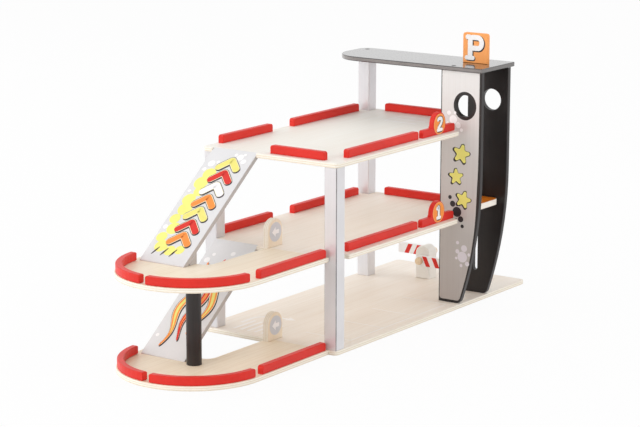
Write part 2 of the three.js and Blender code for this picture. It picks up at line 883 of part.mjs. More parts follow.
// Barrier: a booth between two lanes with a boom on each side, one over each lane
function boom(x, pivotY, pivotZ, direction) {
  const half = boomHeight / 2;
  const inner = pivotY - direction * half;
  const tip = pivotY + direction * boomReach;
  const corners = [
    [Math.min(inner, tip), pivotZ - half, direction > 0 ? half : boomTipCorner, roundSteps],
    [Math.max(inner, tip), pivotZ - half, direction > 0 ? boomTipCorner : half, roundSteps],
    [Math.max(inner, tip), pivotZ + half, direction > 0 ? boomTipCorner : half, roundSteps],
    [Math.min(inner, tip), pivotZ + half, direction > 0 ? half : boomTipCorner, roundSteps],
  ];
  const holeLength = boomThickness + 2 * overrun;
  const hole = barAcross(pegDiameter + 2 * pegPlay, holeLength, x - overrun, pivotY, pivotZ);
  return cut(acrossPlate(outline(corners), x, boomThickness), [hole]);
}

function peg(faceX, direction, y, z) {
  const shank = pegInBooth + boomThickness + 2 * boomGap;
  const head = pegHeadDiameter / 2;
  const profile = [
    [0, 0],
    [pegDiameter / 2, 0],
    [pegDiameter / 2, shank],
    [head, shank],
    [head, shank + pegHeadLength / 2],
    [head - edgeRound, shank + pegHeadLength - edgeRound],
    [head - 2 * edgeRound, shank + pegHeadLength],
    [0, shank + pegHeadLength],
  ];
  const turned = turnedAcross(profile, 0, 0, 0);
  if (direction < 0) {
    turned.rotateY(Math.PI);
  }
  return turned.translate(faceX - direction * pegInBooth, y, z);
}

function barrier() {
  const group = new THREE.Group();
  const back = boothFrontY + boothWidth;
  const round = boothWidth / 2;
  const top = board + boothHeight;
  const side = outline([
    [boothFrontY, board + glueLine],
    [back, board + glueLine],
    [back, top, round, roundSteps],
    [boothFrontY, top, round, roundSteps],
  ]);
  const pivotY = boothFrontY + round;
  const nearZ = board + nearBoomRise;
  const farZ = board + farBoomRise;
  const boothRight = boothX + boothThickness;
  const bore = pegDiameter + 2 * glueLine;
  const depth = pegInBooth + glueLine;
  const nearBore = barAcross(bore, depth + overrun, boothX - overrun, pivotY, nearZ);
  const farBore = barAcross(bore, depth + overrun, boothRight - depth, pivotY, farZ);
  const booth = cut(acrossPlate(side, boothX, boothThickness, boothEdge), [nearBore, farBore]);
  piece(group, 'barrier_booth', booth, 'booth');

  piece(group, 'near_boom_peg', peg(boothX, -1, pivotY, nearZ), 'dowel');
  piece(group, 'far_boom_peg', peg(boothRight, 1, pivotY, farZ), 'dowel');
  piece(group, 'near_boom', boom(boothX - boomGap - boomThickness, pivotY, nearZ, -1), 'boom');
  piece(group, 'far_boom', boom(boothRight + boomGap, pivotY, farZ, 1), 'boom');
  return group;
}

// Fasteners
function fasteners() {
  const group = new THREE.Group();
  for (const screws of [baseScrews, trackScrews, roofScrews]) {
    for (const [name, place] of Object.entries(screws)) {
      piece(group, name, screwAt(place), 'steel');
    }
  }
  for (const [name, place] of Object.entries(postDowels)) {
    piece(group, name, postDowel(place, 0), 'dowel');
  }
  piece(group, 'ground_seam_dowel', seamDowel(floorZ[0], 0), 'dowel');
  piece(group, 'level_1_seam_dowel', seamDowel(floorZ[1], 0), 'dowel');
  return group;
}

garage.add(floors(), posts(), ramps(), kerbs(), arrowSigns(), tower(), lift(), barrier(), fasteners());

// The whole is centred over the rectangle that it covers
const middleX = (trackLeft + baseRight) / 2;
const middleY = (roofFront + baseBack) / 2;
garage.position.set(-middleX, -middleY, 0);

export default garage;
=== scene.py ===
"""Looks of a wooden toy parking garage with a lift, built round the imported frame.

Sizes and places on a face are millimetres, and points in space are metres in the row frame.
"""

import logging
import math
from dataclasses import dataclass, replace
from enum import Enum
from functools import cached_property

import bpy
import numpy as np
from mathutils import Matrix, Vector


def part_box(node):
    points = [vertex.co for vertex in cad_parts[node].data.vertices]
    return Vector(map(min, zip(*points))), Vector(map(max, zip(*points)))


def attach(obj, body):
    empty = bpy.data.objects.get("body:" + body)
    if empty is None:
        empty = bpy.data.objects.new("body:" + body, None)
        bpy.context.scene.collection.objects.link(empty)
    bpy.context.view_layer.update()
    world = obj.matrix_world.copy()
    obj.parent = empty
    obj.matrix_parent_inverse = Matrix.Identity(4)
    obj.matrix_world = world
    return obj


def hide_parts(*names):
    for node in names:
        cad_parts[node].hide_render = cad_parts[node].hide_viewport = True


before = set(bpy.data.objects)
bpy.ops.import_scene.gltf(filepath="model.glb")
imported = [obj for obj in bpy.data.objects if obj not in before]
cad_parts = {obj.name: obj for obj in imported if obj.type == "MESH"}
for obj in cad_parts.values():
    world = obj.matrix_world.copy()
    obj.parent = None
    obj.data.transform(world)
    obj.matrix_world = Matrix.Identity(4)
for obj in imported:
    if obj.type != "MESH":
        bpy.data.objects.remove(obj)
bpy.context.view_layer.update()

MM = 0.001
log = logging.getLogger("garage")

Socket = bpy.types.NodeSocket
Piece = bpy.types.Object
Spot = tuple[float, float]
Triple = tuple[float, float, float]


class Tint(Enum):
    """Colours of the garage's paints, woods and printing inks, as sRGB from 0 to 255."""

    PLYWOOD = 249, 241, 231
    PLYWOOD_GRAIN = 236, 221, 204
    PALE_PLYWOOD = 246, 243, 235
    PALE_PLYWOOD_GRAIN = 236, 228, 215
    TRACK = 247, 234, 213
    TRACK_GRAIN = 231, 211, 183
    PLY_LIGHT = 250, 244, 232
    PLY_DARK = 226, 210, 184
    PORE = 180, 152, 116
    RED = 218, 40, 28
    SILVER = 221, 219, 221
    DARKER_CORNER = 112, 109, 112
    RAMP_SILVER = 222, 221, 222
    RAMP_SIDE = 190, 185, 181
    PRINT_SILVER = 226, 224, 222
    # painted shade: the silver print's colour at the foot of its field
    PRINT_SILVER_LOW = 181, 172, 168
    DISC_GREY = 208, 209, 214
    GREY = 236, 232, 225
    BLACK = 38, 33, 32
    BLACK_GLOSS = 46, 40, 38
    # painted highlight: the paler middle of the roof's edges
    ROOF_EDGE = 128, 121, 118
    ORANGE = 246, 146, 62
    SIGN_ORANGE = 252, 164, 86
    APRICOT = 252, 192, 122
    LIFT_ORANGE = 255, 138, 24
    WHITE = 246, 244, 244
    YELLOW = 238, 228, 124
    PALE_YELLOW = 246, 240, 130
    INK = 48, 40, 44
    PALE_INK = 226, 218, 224
    FAINT_INK = 253, 248, 245
    CREAM = 248, 240, 206
    BARE = 240, 217, 184
    BARE_GRAIN = 224, 192, 152
    STEEL = 178, 176, 172
    FELT = 88, 84, 82

    def linear(self, share: float = 1.0, more: float = 0.0) -> Triple:
        """The linear colour by the sRGB curve: straight up to 0.04045, and a power of 2.4 above.

        Args:
            share: what the linear colour is multiplied by.
            more: what is added after that.

        Returns:
            Linear red, green and blue, at most 1.
        """
        plain = np.array(self.value) / 255
        curved = np.where(plain <= 0.04045, plain / 12.92, ((plain + 0.055) / 1.055) ** 2.4)
        return tuple(float(part) for part in np.minimum(curved * share + more, 1))


class Axis(Enum):
    """Axes of the row frame, by the names that a separated vector's parts have."""

    X = "X"
    Y = "Y"
    Z = "Z"


class Side(Enum):
    """Sides of a piece: the directions across and up it, as seen from outside."""

    LEFT = ((0, -1, 0), (0, 0, 1))
    RIGHT = ((0, 1, 0), (0, 0, 1))
    FRONT = ((1, 0, 0), (0, 0, 1))
    TOP = ((1, 0, 0), (0, 1, 0))


# Materials


class Nodes:
    """A node tree with its shader, and short ways to add nodes and join them."""

    def __init__(self, tree: bpy.types.NodeTree, shader: str = "Principled BSDF") -> None:
        """Takes a tree and the name of its shader."""
        self.tree = tree
        self.shader = tree.nodes[shader]

    @cached_property
    def spot(self) -> Socket:
        """A point's place in the row frame at rest, in metres."""
        return self.add("TexCoord", {}, "Object")

    def feed(self, target: Socket, value: object) -> None:
        """Gives an input its value.

        Args:
            target: the input.
            value: a socket to link to it, or a plain value. A colour comes without its alpha.
        """
        if isinstance(value, Socket):
            self.tree.links.new(value, target)
        elif target.type == "RGBA":
            target.default_value = (*(value.linear() if isinstance(value, Tint) else value), 1)
        else:
            target.default_value = value

    def add(self, kind: str, inputs: dict[int | str, object], out: int | str = 0,
            **settings: object) -> Socket:
        """Adds a node, feeds it and reads it.

        Args:
            kind: Blender's name of the node after "ShaderNode".
            inputs: a socket or a plain value for each input, by its name or number.
            out: name or number of the output to read.
            settings: properties to set on the node first.

        Returns:
            The output.
        """
        node = self.tree.nodes.new("ShaderNode" + kind)
        for key, value in settings.items():
            setattr(node, key, value)
        for key, value in inputs.items():
            self.feed(node.inputs[key], value)
        return node.outputs[out]

    def give(self, name: str, value: object) -> None:
        """Feeds an input of the shader."""
        self.feed(self.shader.inputs[name], value)

    def lay_over(self, share: Socket, tint: Tint) -> None:
        """Lays a tint over the shader's colour, by a share."""
        below = self.shader.inputs["Base Color"].links[0].from_socket
        self.give("Base Color", self.mix(share, below, tint))

    def math(self, operation: str, first: object, second: object = 0.0) -> Socket:
        """Result of a sum on one or two values."""
        return self.add("Math", {0: first, 1: second}, operation=operation)

    def noise(self, waves: Triple, detail: float = 3.0) -> Socket:
        """Smooth noise round 0.5, by its waves in a metre along X, Y and Z and its finer detail."""
        drawn = self.add("Mapping", {"Vector": self.spot, "Scale": waves}, "Vector")
        return self.add("TexNoise", {"Vector": drawn, "Scale": 1.0, "Detail": detail}, "Fac")

    def spread(self, value: Socket, low: float, high: float, first: float, last: float) -> Socket:
        """Carries a value from low and high to first and last, and holds it there beyond them."""
        ends = {"From Min": low, "From Max": high, "To Min": first, "To Max": last}
        return self.add("MapRange", {"Value": value, **ends}, "Result", clamp=True)

    def mix(self, share: Socket, first: object, second: object) -> Socket:
        """Colour between two others, by a share."""
        return self.add("Mix", {0: share, 6: first, 7: second}, 2, data_type="RGBA")

    def plies(self, place: Socket, ply: float, most: float) -> Socket:
        """Share of the dark ply: the place's share of two plies, folded in the middle."""
        pairs = self.math("FRACT", self.math("DIVIDE", place, 2 * ply))
        return self.spread(self.math("PINGPONG", pairs, 0.5), 0.21, 0.29, 0, most)

    def relief(self, height: Socket, depth: float) -> None:
        """Small relief of the surface, with its depth in metres."""
        self.give("Normal", self.add("Bump", {"Distance": depth, "Height": height}, "Normal"))

    def facing(self, axis: Axis) -> Socket:
        """How much the surface faces along an axis, either way, from 0 to 1."""
        normal = self.add("NewGeometry", {}, "True Normal")
        return self.math("ABSOLUTE", self.add("SeparateXYZ", {0: normal}, axis.value))

    def place(self, axis: Axis) -> Socket:
        """Place along an axis of the row frame at rest, in metres."""
        return self.add("SeparateXYZ", {0: self.spot}, axis.value)

    def seen(self) -> Socket:
        """Tells which rays show a surface to the camera.

        Returns:
            1 for rays that come straight, by gloss or through glass, and else 0.
        """
        share = self.add("LightPath", {}, "Is Camera Ray")
        for kind in ("Is Glossy Ray", "Is Transmission Ray"):
            share = self.math("MAXIMUM", share, self.add("LightPath", {}, kind))
        return share

    def show(self, output: str, share: Socket, first: Socket, second: Socket) -> None:
        """Shows two shaders, mixed by a share, at an output node."""
        mixed = self.add("MixShader", {0: share, 1: first, 2: second})
        self.feed(self.tree.nodes[output].inputs["Surface"], mixed)


@dataclass(frozen=True)
class Finish:
    """What every finish has: its name, its gloss and one material that its pieces share."""

    name: str
    roughness: float = 0.5
    gloss: float = 0.5
    coat: float = 0.0
    metal: float = 0.0

    def material(self) -> bpy.types.Material:
        """Makes the finish's material at its first use.

        Returns:
            The material.
        """
        material = bpy.data.materials.get(self.name)
        if not material:
            material = bpy.data.materials.new(self.name)
            material.use_nodes = True
            nodes = Nodes(material.node_tree)
            values = {"Roughness": self.roughness, "Specular IOR Level": self.gloss,
                      "Coat Weight": self.coat, "Coat Roughness": self.roughness / 3,
                      "Metallic": self.metal}
            for name, value in values.items():
                nodes.give(name, value)
            self.paint(nodes)
        return material

    def paint(self, nodes: Nodes) -> None:
        """Adds the finish's own nodes."""
        raise NotImplementedError


@dataclass(frozen=True)
class Plywood(Finish):
    """Clear-varnished plywood: straight grain on the faces, glued plies on the edges."""

    gloss: float = 0.4
    coat: float = 0.1
    face: Tint = Tint.PLYWOOD
    grain: Tint = Tint.PLYWOOD_GRAIN
    axis: Axis = Axis.Z
    along: Triple = (7, 320, 320)
    start: float = 0.0
    repeat: float = 0.1385
    ply: float = 1.4 * MM

    def paint(self, nodes: Nodes) -> None:
        """Grain runs along the sheet, and the plies change with the place along an axis.

        The place from the start is taken again at each repeat, so that every storey's board begins
        with a whole ply.

        Args:
            nodes: nodes of the material.
        """
        streaks = nodes.noise(self.along, 4)
        clouds = nodes.noise(tuple(3 + share / 20 for share in self.along), 2)
        fibres = nodes.noise(tuple(7 * share for share in self.along), 2)
        broad = nodes.mix(nodes.spread(clouds, 0.35, 0.7, 0, 0.35), self.face, self.grain)
        grained = nodes.mix(nodes.spread(streaks, 0.45, 0.78, 0, 0.6), broad, self.grain)
        face = nodes.mix(nodes.spread(fibres, 0.66, 0.8, 0, 0.35), grained, Tint.PORE)
        from_start = nodes.math("ADD", nodes.place(self.axis), self.start)
        odd = nodes.plies(nodes.math("MODULO", from_start, self.repeat), self.ply, 0.62)
        layered = nodes.mix(odd, Tint.PLY_LIGHT, Tint.PLY_DARK)
        ends = nodes.spread(nodes.noise((420, 420, 900), 2), 0.5, 0.75, 0, 0.3)
        edge = nodes.mix(ends, layered, Tint.PLY_DARK)
        flat = nodes.spread(nodes.facing(self.axis), 0.55, 0.75, 0, 1)
        nodes.give("Base Color", nodes.mix(flat, edge, face))
        nodes.relief(nodes.math("ADD", streaks, fibres), 0.04 * MM)


@dataclass(frozen=True)
class Paint(Finish):
    """Sprayed paint on wood, with a faint grain in its surface."""

    tint: Tint = Tint.RED
    unevenness: float = 0.08
    along: Triple = (30, 400, 400)
    depth: float = 0.03 * MM

    def paint(self, nodes: Nodes) -> None:
        """The colour wanders lighter and darker in clouds, and the wood's grain shows as relief.

        Args:
            nodes: nodes of the material.
        """
        grain = nodes.noise(self.along, 4)
        clouds = nodes.spread(nodes.noise((22, 22, 22)), 0.3, 0.7, 0, 0.7)
        share = nodes.math("ADD", clouds, nodes.spread(grain, 0.35, 0.7, 0, 0.3))
        darker = self.tint.linear(1 - self.unevenness)
        lighter = self.tint.linear(1 + self.unevenness, 0.004)
        nodes.give("Base Color", nodes.mix(share, darker, lighter))
        nodes.relief(grain, self.depth)


@dataclass(frozen=True)
class ShadedPrint(Paint):
    """A metallic print with painted shade: it darkens from the head of its field to the foot."""

    shade_tint: Tint = Tint.PRINT_SILVER_LOW
    foot: float = 0.01
    head: float = 0.375

    def paint(self, nodes: Nodes) -> None:
        """Painted shade: the colour goes from the shade tint at the foot to the tint at the head,
        in fine streaks.

        Args:
            nodes: nodes of the material.
        """
        streaks = nodes.noise((420, 420, 5))
        rise = nodes.spread(nodes.place(Axis.Z), self.foot, self.head, 0, 1)
        share = nodes.math("ADD", rise, nodes.spread(streaks, 0.3, 0.7, -0.06, 0.06))
        nodes.give("Base Color", nodes.mix(share, self.shade_tint, self.tint))
        nodes.give("Roughness", nodes.spread(streaks, 0.3, 0.7, 0.46, 0.6))
        nodes.relief(nodes.noise(self.along, 4), self.depth)


@dataclass(frozen=True)
class DarkCornerPaint(Paint):
    """Paint that is darker along the upright corners of a square post."""

    corner: Tint = Tint.DARKER_CORNER

    def paint(self, nodes: Nodes) -> None:
        """The corner's share grows where the surface faces between X and Y, broken up by noise.

        Args:
            nodes: nodes of the material.
        """
        super().paint(nodes)
        between = nodes.math("MINIMUM", nodes.facing(Axis.X), nodes.facing(Axis.Y))
        patchy = nodes.spread(nodes.noise((90, 90, 40)), 0.3, 0.6, 0.6, 1)
        share = nodes.math("MULTIPLY", nodes.spread(between, 0.1, 0.35, 0, 1), patchy)
        nodes.lay_over(share, self.corner)


@dataclass(frozen=True)
class SidedPaint(Paint):
    """Paint on a board's faces that is darker on the board's sides."""

    side: Tint = Tint.RAMP_SIDE

    def paint(self, nodes: Nodes) -> None:
        """The side's share is how much the surface faces along Y."""
        super().paint(nodes)
        nodes.lay_over(nodes.spread(nodes.facing(Axis.Y), 0.5, 0.8, 0, 1), self.side)


@dataclass(frozen=True)
class EdgeHighlightPaint(Paint):
    """Gloss paint on a lying board, with a painted highlight that makes the middle of its edges
    paler.
    """

    # colour of the painted highlight on the middle of the edges
    edge: Tint = Tint.ROOF_EDGE
    middle: float = 0.379
    half: float = 3.5 * MM

    def paint(self, nodes: Nodes) -> None:
        """The painted highlight shows on upright faces away from their borders, most on the long
        sides.

        Args:
            nodes: nodes of the material.
        """
        super().paint(nodes)
        away = nodes.math("ABSOLUTE", nodes.math("SUBTRACT", nodes.place(Axis.Z), self.middle))
        share = nodes.spread(away, 0.55 * self.half, 0.72 * self.half, 1, 0)
        upright = nodes.spread(nodes.facing(Axis.Z), 0.3, 0.6, 1, 0)
        patchy = nodes.spread(nodes.noise((60, 60, 300)), 0.4, 0.7, 1, 0.7)
        long = nodes.spread(nodes.facing(Axis.X), 0, 0.8, 0.35, 1)
        for factor in (upright, patchy, long):
            share = nodes.math("MULTIPLY", share, factor)
        nodes.lay_over(share, self.edge)


@dataclass(frozen=True)
class BareWood(Finish):
    """Bare turned or sawn wood, with its grain along one direction."""

    roughness: float = 0.6
    along: Triple = (40, 420, 420)

    def paint(self, nodes: Nodes) -> None:
        """Grain is noise drawn out along the wood, with finer dark fibres in it.

        Args:
            nodes: nodes of the material.
        """
        streaks = nodes.noise(self.along, 4)
        fibres = nodes.noise(tuple(5 * share for share in self.along), 2)
        wood = nodes.mix(nodes.spread(streaks, 0.35, 0.7, 0, 0.8), Tint.BARE, Tint.BARE_GRAIN)
        dark = nodes.spread(fibres, 0.6, 0.8, 0, 0.3)
        nodes.give("Base Color", nodes.mix(dark, wood, Tint.PORE))
        nodes.relief(nodes.math("ADD", streaks, fibres), 0.06 * MM)


@dataclass(frozen=True)
class TwoTone(Finish):
    """Orange paint on the flat faces of the lift's board, cream plies on its edges."""

    ply: float = 1.4 * MM

    def paint(self, nodes: Nodes) -> None:
        """The share of orange is how flat the surface lies, and plies change with the height.

        Args:
            nodes: nodes of the material.
        """
        grain = nodes.noise((20, 360, 360), 4)
        paler = nodes.spread(grain, 0.4, 0.75, 0, 0.25)
        orange = nodes.mix(paler, Tint.LIFT_ORANGE, Tint.ORANGE)
        odd = nodes.plies(nodes.place(Axis.Z), self.ply, 0.3)
        edge = nodes.mix(odd, Tint.PLYWOOD, Tint.PLY_DARK)
        flat = nodes.spread(nodes.facing(Axis.Z), 0.75, 0.9, 0, 1)
        nodes.give("Base Color", nodes.mix(flat, edge, orange))
        nodes.relief(grain, 0.03 * MM)


@dataclass(frozen=True)
class Steel(Finish):
    """Steel with a brushed look."""

    metal: float = 1.0
    tint: Tint = Tint.STEEL

    def paint(self, nodes: Nodes) -> None:
        """The roughness and the colour wander in fine noise.

        Args:
            nodes: nodes of the material.
        """
        fine = nodes.noise((900, 900, 900))
        nodes.give("Base Color", nodes.mix(fine, self.tint.linear(0.7), self.tint))
        nodes.give("Roughness", nodes.spread(fine, 0.3, 0.7, 0.25, 0.45))


@dataclass(frozen=True)
class PaleFloor(Finish):
    """A pale floor that glows to the camera, and keeps the garage's soft shadow."""

    roughness: float = 0.9
    grey: float = 0.86
    glow: float = 0.94

    def paint(self, nodes: Nodes) -> None:
        """To the camera the floor is its glow by that share, and all else sees the plain floor.

        Args:
            nodes: nodes of the material.
        """
        nodes.give("Base Color", (self.grey,) * 3)
        share = nodes.math("MULTIPLY", nodes.seen(), self.glow)
        light = nodes.add("Emission", {"Strength": 1.0})
        nodes.show("Material Output", share, nodes.shader.outputs[0], light)


PLYWOOD = Plywood("birch plywood")
PALE_PLYWOOD = Plywood("pale birch plywood", face=Tint.PALE_PLYWOOD, grain=Tint.PALE_PLYWOOD_GRAIN)
TRACK_PLYWOOD = Plywood("birch plywood of the tracks", face=Tint.TRACK, grain=Tint.TRACK_GRAIN)
SIGN_PLYWOOD = replace(TRACK_PLYWOOD, name="birch plywood of the arrow signs", axis=Axis.Y,
                       along=(320, 320, 9), start=1.0, repeat=2.8 * MM)
BRACKET_PLYWOOD = replace(SIGN_PLYWOOD, name="birch plywood of the bracket", axis=Axis.X)
RED = Paint("red paint", roughness=0.4, gloss=0.3)
SILVER = Paint("silver paint", roughness=0.38, metal=0.35, tint=Tint.SILVER, unevenness=0.03,
               along=(400, 400, 24))
DARK_CORNERED_SILVER = DarkCornerPaint("silver paint with rubbed corners", roughness=0.38, metal=0.35,
                            tint=Tint.SILVER, unevenness=0.03, along=(400, 400, 24))
RAMP_SILVER = SidedPaint("silver paint of the ramps", roughness=0.42, metal=0.1,
                         tint=Tint.RAMP_SILVER, unevenness=0.03, depth=0.02 * MM)
# the silver print carries painted shade, darker towards its foot
PRINT_SILVER = ShadedPrint("silver print", metal=0.2, tint=Tint.PRINT_SILVER,
                           along=(400, 400, 24), depth=0.01 * MM)
GREY = Paint("grey paint", roughness=0.42, tint=Tint.GREY, unevenness=0.03)
BLACK = Paint("black satin paint", roughness=0.38, gloss=0.4, coat=0.04, tint=Tint.BLACK,
              unevenness=0.2, along=(400, 400, 18))
# the roof's gloss paint, with a painted highlight on its edges
BLACK_GLOSS = EdgeHighlightPaint("black gloss paint", roughness=0.2, gloss=0.7, coat=0.8,
                         tint=Tint.BLACK_GLOSS, along=(300, 14, 300), depth=0.01 * MM)
SIGN_ORANGE = Paint("orange paint of the sign", roughness=0.4, tint=Tint.SIGN_ORANGE,
                    unevenness=0.04)
WHITE = Paint("white paint", roughness=0.42, tint=Tint.WHITE, unevenness=0.02)
LIFT_BOARD = TwoTone("orange paint on the lift's board", roughness=0.35, coat=0.1)
BARE_ALONG_X = BareWood("bare wood along X")
BARE_UPRIGHT = BareWood("bare wood, upright", along=(420, 420, 40))
SCREW_STEEL = Steel("screw steel")
DARK_SCREW = Steel("blackened screw steel", tint=Tint.INK)
FELT = Paint("felt", roughness=0.95, gloss=0.1, tint=Tint.FELT, unevenness=0.25,
             along=(900, 900, 900), depth=0.2 * MM)


def ink(name: str, tint: Tint, unevenness: float = 0.03) -> Paint:
    """A printing ink: a thin even paint."""
    return Paint(name, roughness=0.45, gloss=0.35, tint=tint, unevenness=unevenness,
                 depth=0.005 * MM)


YELLOW_INK = ink("yellow ink", Tint.YELLOW, 0.04)
PALE_YELLOW_INK = ink("pale yellow ink", Tint.PALE_YELLOW, 0.05)
ORANGE_INK = ink("orange ink", Tint.ORANGE, 0.04)
RED_INK = ink("red ink", Tint.RED, 0.05)
WHITE_INK = ink("white ink", Tint.WHITE, 0.02)
PALE_INK = ink("pale ink", Tint.PALE_INK)
FAINT_INK = ink("faint ink", Tint.FAINT_INK)
CREAM_INK = ink("cream ink", Tint.CREAM)
DISC_INK = ink("grey ink", Tint.DISC_GREY)
APRICOT_INK = ink("apricot ink", Tint.APRICOT, 0.04)
DARK_INK = ink("dark ink", Tint.INK, 0.1)


# Surfaces


@dataclass(frozen=True)
class Face:
    """A flat place on a piece: its middle, and the directions across and up it."""

    middle: Vector
    across: Vector
    up: Vector

    @classmethod
    def of(cls, node: str, side: Side) -> "Face":
        """Finds the side of a CAD node's box.

        Args:
            node: the node.
            side: the side.

        Returns:
            The face, with its middle in the middle of that side.
        """
        low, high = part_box(node)
        across, up = (Vector(direction) for direction in side.value)
        out = across.cross(up)
        return cls((low + high) / 2 + out * abs(out.dot(high - low)) / 2, across, up)

    @classmethod
    def slope(cls, node: str, toe: float) -> "Face":
        """Finds a ramp's upper face, which rises along +X.

        Args:
            node: the ramp.
            toe: thickness of its toe.

        Returns:
            The face, which has the climb as its way up.
        """
        low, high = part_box(node)
        middle_y = (low.y + high.y) / 2
        foot = Vector((low.x, middle_y, low.z + toe * MM))
        head = Vector((high.x, middle_y, high.z))
        return cls((foot + head) / 2, Vector((0, -1, 0)), (head - foot).normalized())

    def place(self, flat: np.ndarray, height: np.ndarray) -> np.ndarray:
        """Points in space: middle + across * first + up * second + out * height.

        Args:
            flat: points across and up from the middle.
            height: how far they stand out of the face.

        Returns:
            The points, in metres.
        """
        directions = np.array([self.across, self.up, self.across.cross(self.up)])
        height = np.broadcast_to(height, flat.shape[:-1])[..., None]
        return np.array(self.middle) + MM * np.concatenate([flat, height], axis=-1) @ directions


def middle_of(node: str) -> np.ndarray:
    """Middle of a CAD node's box, in millimetres."""
    low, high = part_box(node)
    return np.array((low + high) / 2) / MM


def added(name: str, data: bpy.types.ID) -> Piece:
    """A new object of the scene, at the origin."""
    bpy.context.scene.collection.objects.link(piece := bpy.data.objects.new(name, data))
    return piece


def closed_mesh(name: str, rings: np.ndarray, loop: bool = False) -> Piece:
    """A closed surface from rings of points, joined by quads.

    A loop joins its last ring to its first. Otherwise a fan to the mean point of its ring closes
    each end. Where the enclosed volume, a sixth of the sum of the triangles' triple products, comes
    out negative, all faces are turned over.

    Args:
        name: the piece's name.
        rings: points, shaped (rings, points in a ring, 3), in metres.
        loop: whether the rings go round and meet.

    Returns:
        The new piece, linked to the scene.
    """
    count, around, _ = rings.shape
    index = np.arange(count * around).reshape(count, around)
    if loop:
        index = np.concatenate([index, index[:1]])
    beside = np.roll(index, -1, axis=1)
    quads = np.stack([index[:-1], beside[:-1], beside[1:], index[1:]], axis=-1).reshape(-1, 4)
    vertices = rings.reshape(-1, 3)
    fans = np.empty((0, 3), int)
    if not loop:
        pole = np.full(around, len(vertices))
        start = np.stack([pole, beside[0], index[0]], axis=-1)
        end = np.stack([pole + 1, index[-1], beside[-1]], axis=-1)
        fans = np.concatenate([start, end])
        vertices = np.concatenate([vertices, rings[[0, -1]].mean(axis=1)])
    triangles = np.concatenate([quads[:, :3], quads[:, [0, 2, 3]], fans])
    first, second, third = np.moveaxis(vertices[triangles] - vertices.mean(axis=0), 1, 0)
    if np.einsum("ij,ij->", first, np.cross(second, third)) < 0:
        quads, fans = quads[:, ::-1], fans[:, ::-1]
    mesh = bpy.data.meshes.new(name)
    mesh.from_pydata(vertices.tolist(), [], quads.tolist() + fans.tolist())
    mesh.update()
    return added(name, mesh)


def read_path(path: np.ndarray, shares: np.ndarray) -> tuple[np.ndarray, float]:
    """Reads a path of straight runs again.

    Args:
        path: points of the path, shaped (points, 2).
        shares: shares of its length, from 0 to 1.

    Returns:
        The points at those shares, and the length.
    """
    run = np.concatenate([[0], np.cumsum(np.linalg.norm(np.diff(path, axis=0), axis=1))])
    at = shares * run[-1]
    return np.stack([np.interp(at, run, path[:, axis]) for axis in range(2)], axis=-1), run[-1]


def even_steps(path: np.ndarray, count: int, closed: bool = False) -> np.ndarray:
    """Reads a path again at even steps.

    Args:
        path: points of the path, shaped (points, 2).
        count: how many points to read.
        closed: whether the path goes back to its first point.

    Returns:
        Points shaped (count, 2).
    """
    if closed:
        path = np.concatenate([path, path[:1]])
    return read_path(path, np.linspace(0, 1, count, endpoint=not closed))[0]


def softened(path: np.ndarray, window: int, closed: bool = False) -> np.ndarray:
    """Rounds a path's corners: each point becomes the mean of its neighbours within a window.

    Args:
        path: evenly spaced points.
        window: how many points the mean takes in.
        closed: whether the path goes round. An open one keeps its ends, by its mirrored ends.

    Returns:
        The softened points, as many as before.
    """
    half = window // 2
    if half < 1:
        return path
    if closed:
        padded = np.concatenate([path[-half:], path, path[:half]])
    else:
        padded = np.pad(path, ((half, half), (0, 0)), mode="reflect", reflect_type="odd")
    kernel = np.ones(2 * half + 1) / (2 * half + 1)
    return np.stack([np.convolve(padded[:, axis], kernel, "valid") for axis in range(2)], axis=-1)


def bent(corners: list[Spot], round_off: float, count: int = 120,
         closed: bool = False) -> np.ndarray:
    """A line through corners, softened.

    Args:
        corners: the corners.
        round_off: length over which they are softened.
        count: how many points the line has.
        closed: whether it goes back to its first corner.

    Returns:
        The line's points, evenly spaced before they are softened.
    """
    even = even_steps(np.array(corners, float), count, closed)
    step = np.linalg.norm(even[1] - even[0])
    return softened(even, max(1, int(round_off / step)), closed)


def polygon(corners: list[Spot], round_off: float) -> np.ndarray:
    """A closed outline through corners, softened over a length."""
    return bent(corners, round_off, 240, closed=True)


def turned(reach: np.ndarray | float, angle: np.ndarray) -> np.ndarray:
    """Points at a reach and an angle from nought: reach * (cosine, sine)."""
    return np.stack([reach * np.cos(angle), reach * np.sin(angle)], axis=-1)


def circle(radius: float, middle: Spot = (0, 0), count: int = 96) -> np.ndarray:
    """Points of a circle: middle + radius * (cosine, sine) of even turns."""
    return turned(radius, np.linspace(0, 2 * np.pi, count, endpoint=False)) + middle


def star(radius: float, turn: float, middle: Spot) -> np.ndarray:
    """Outline of a five-pointed star with blunt points.

    Args:
        radius: from the middle to the two corners of a blunt point.
        turn: turn of the star in degrees.
        middle: place of its middle.

    Returns:
        The softened outline of fifteen corners: two for each point, and one about half as far out
        for each notch.
    """
    angle = np.radians(90 + turn + 72 * np.arange(5)[:, None] + (-8, 8, 36)).ravel()
    reach = np.tile([radius, radius, 0.52 * radius], 5)
    return polygon(turned(reach, angle) + middle, radius * 0.3)


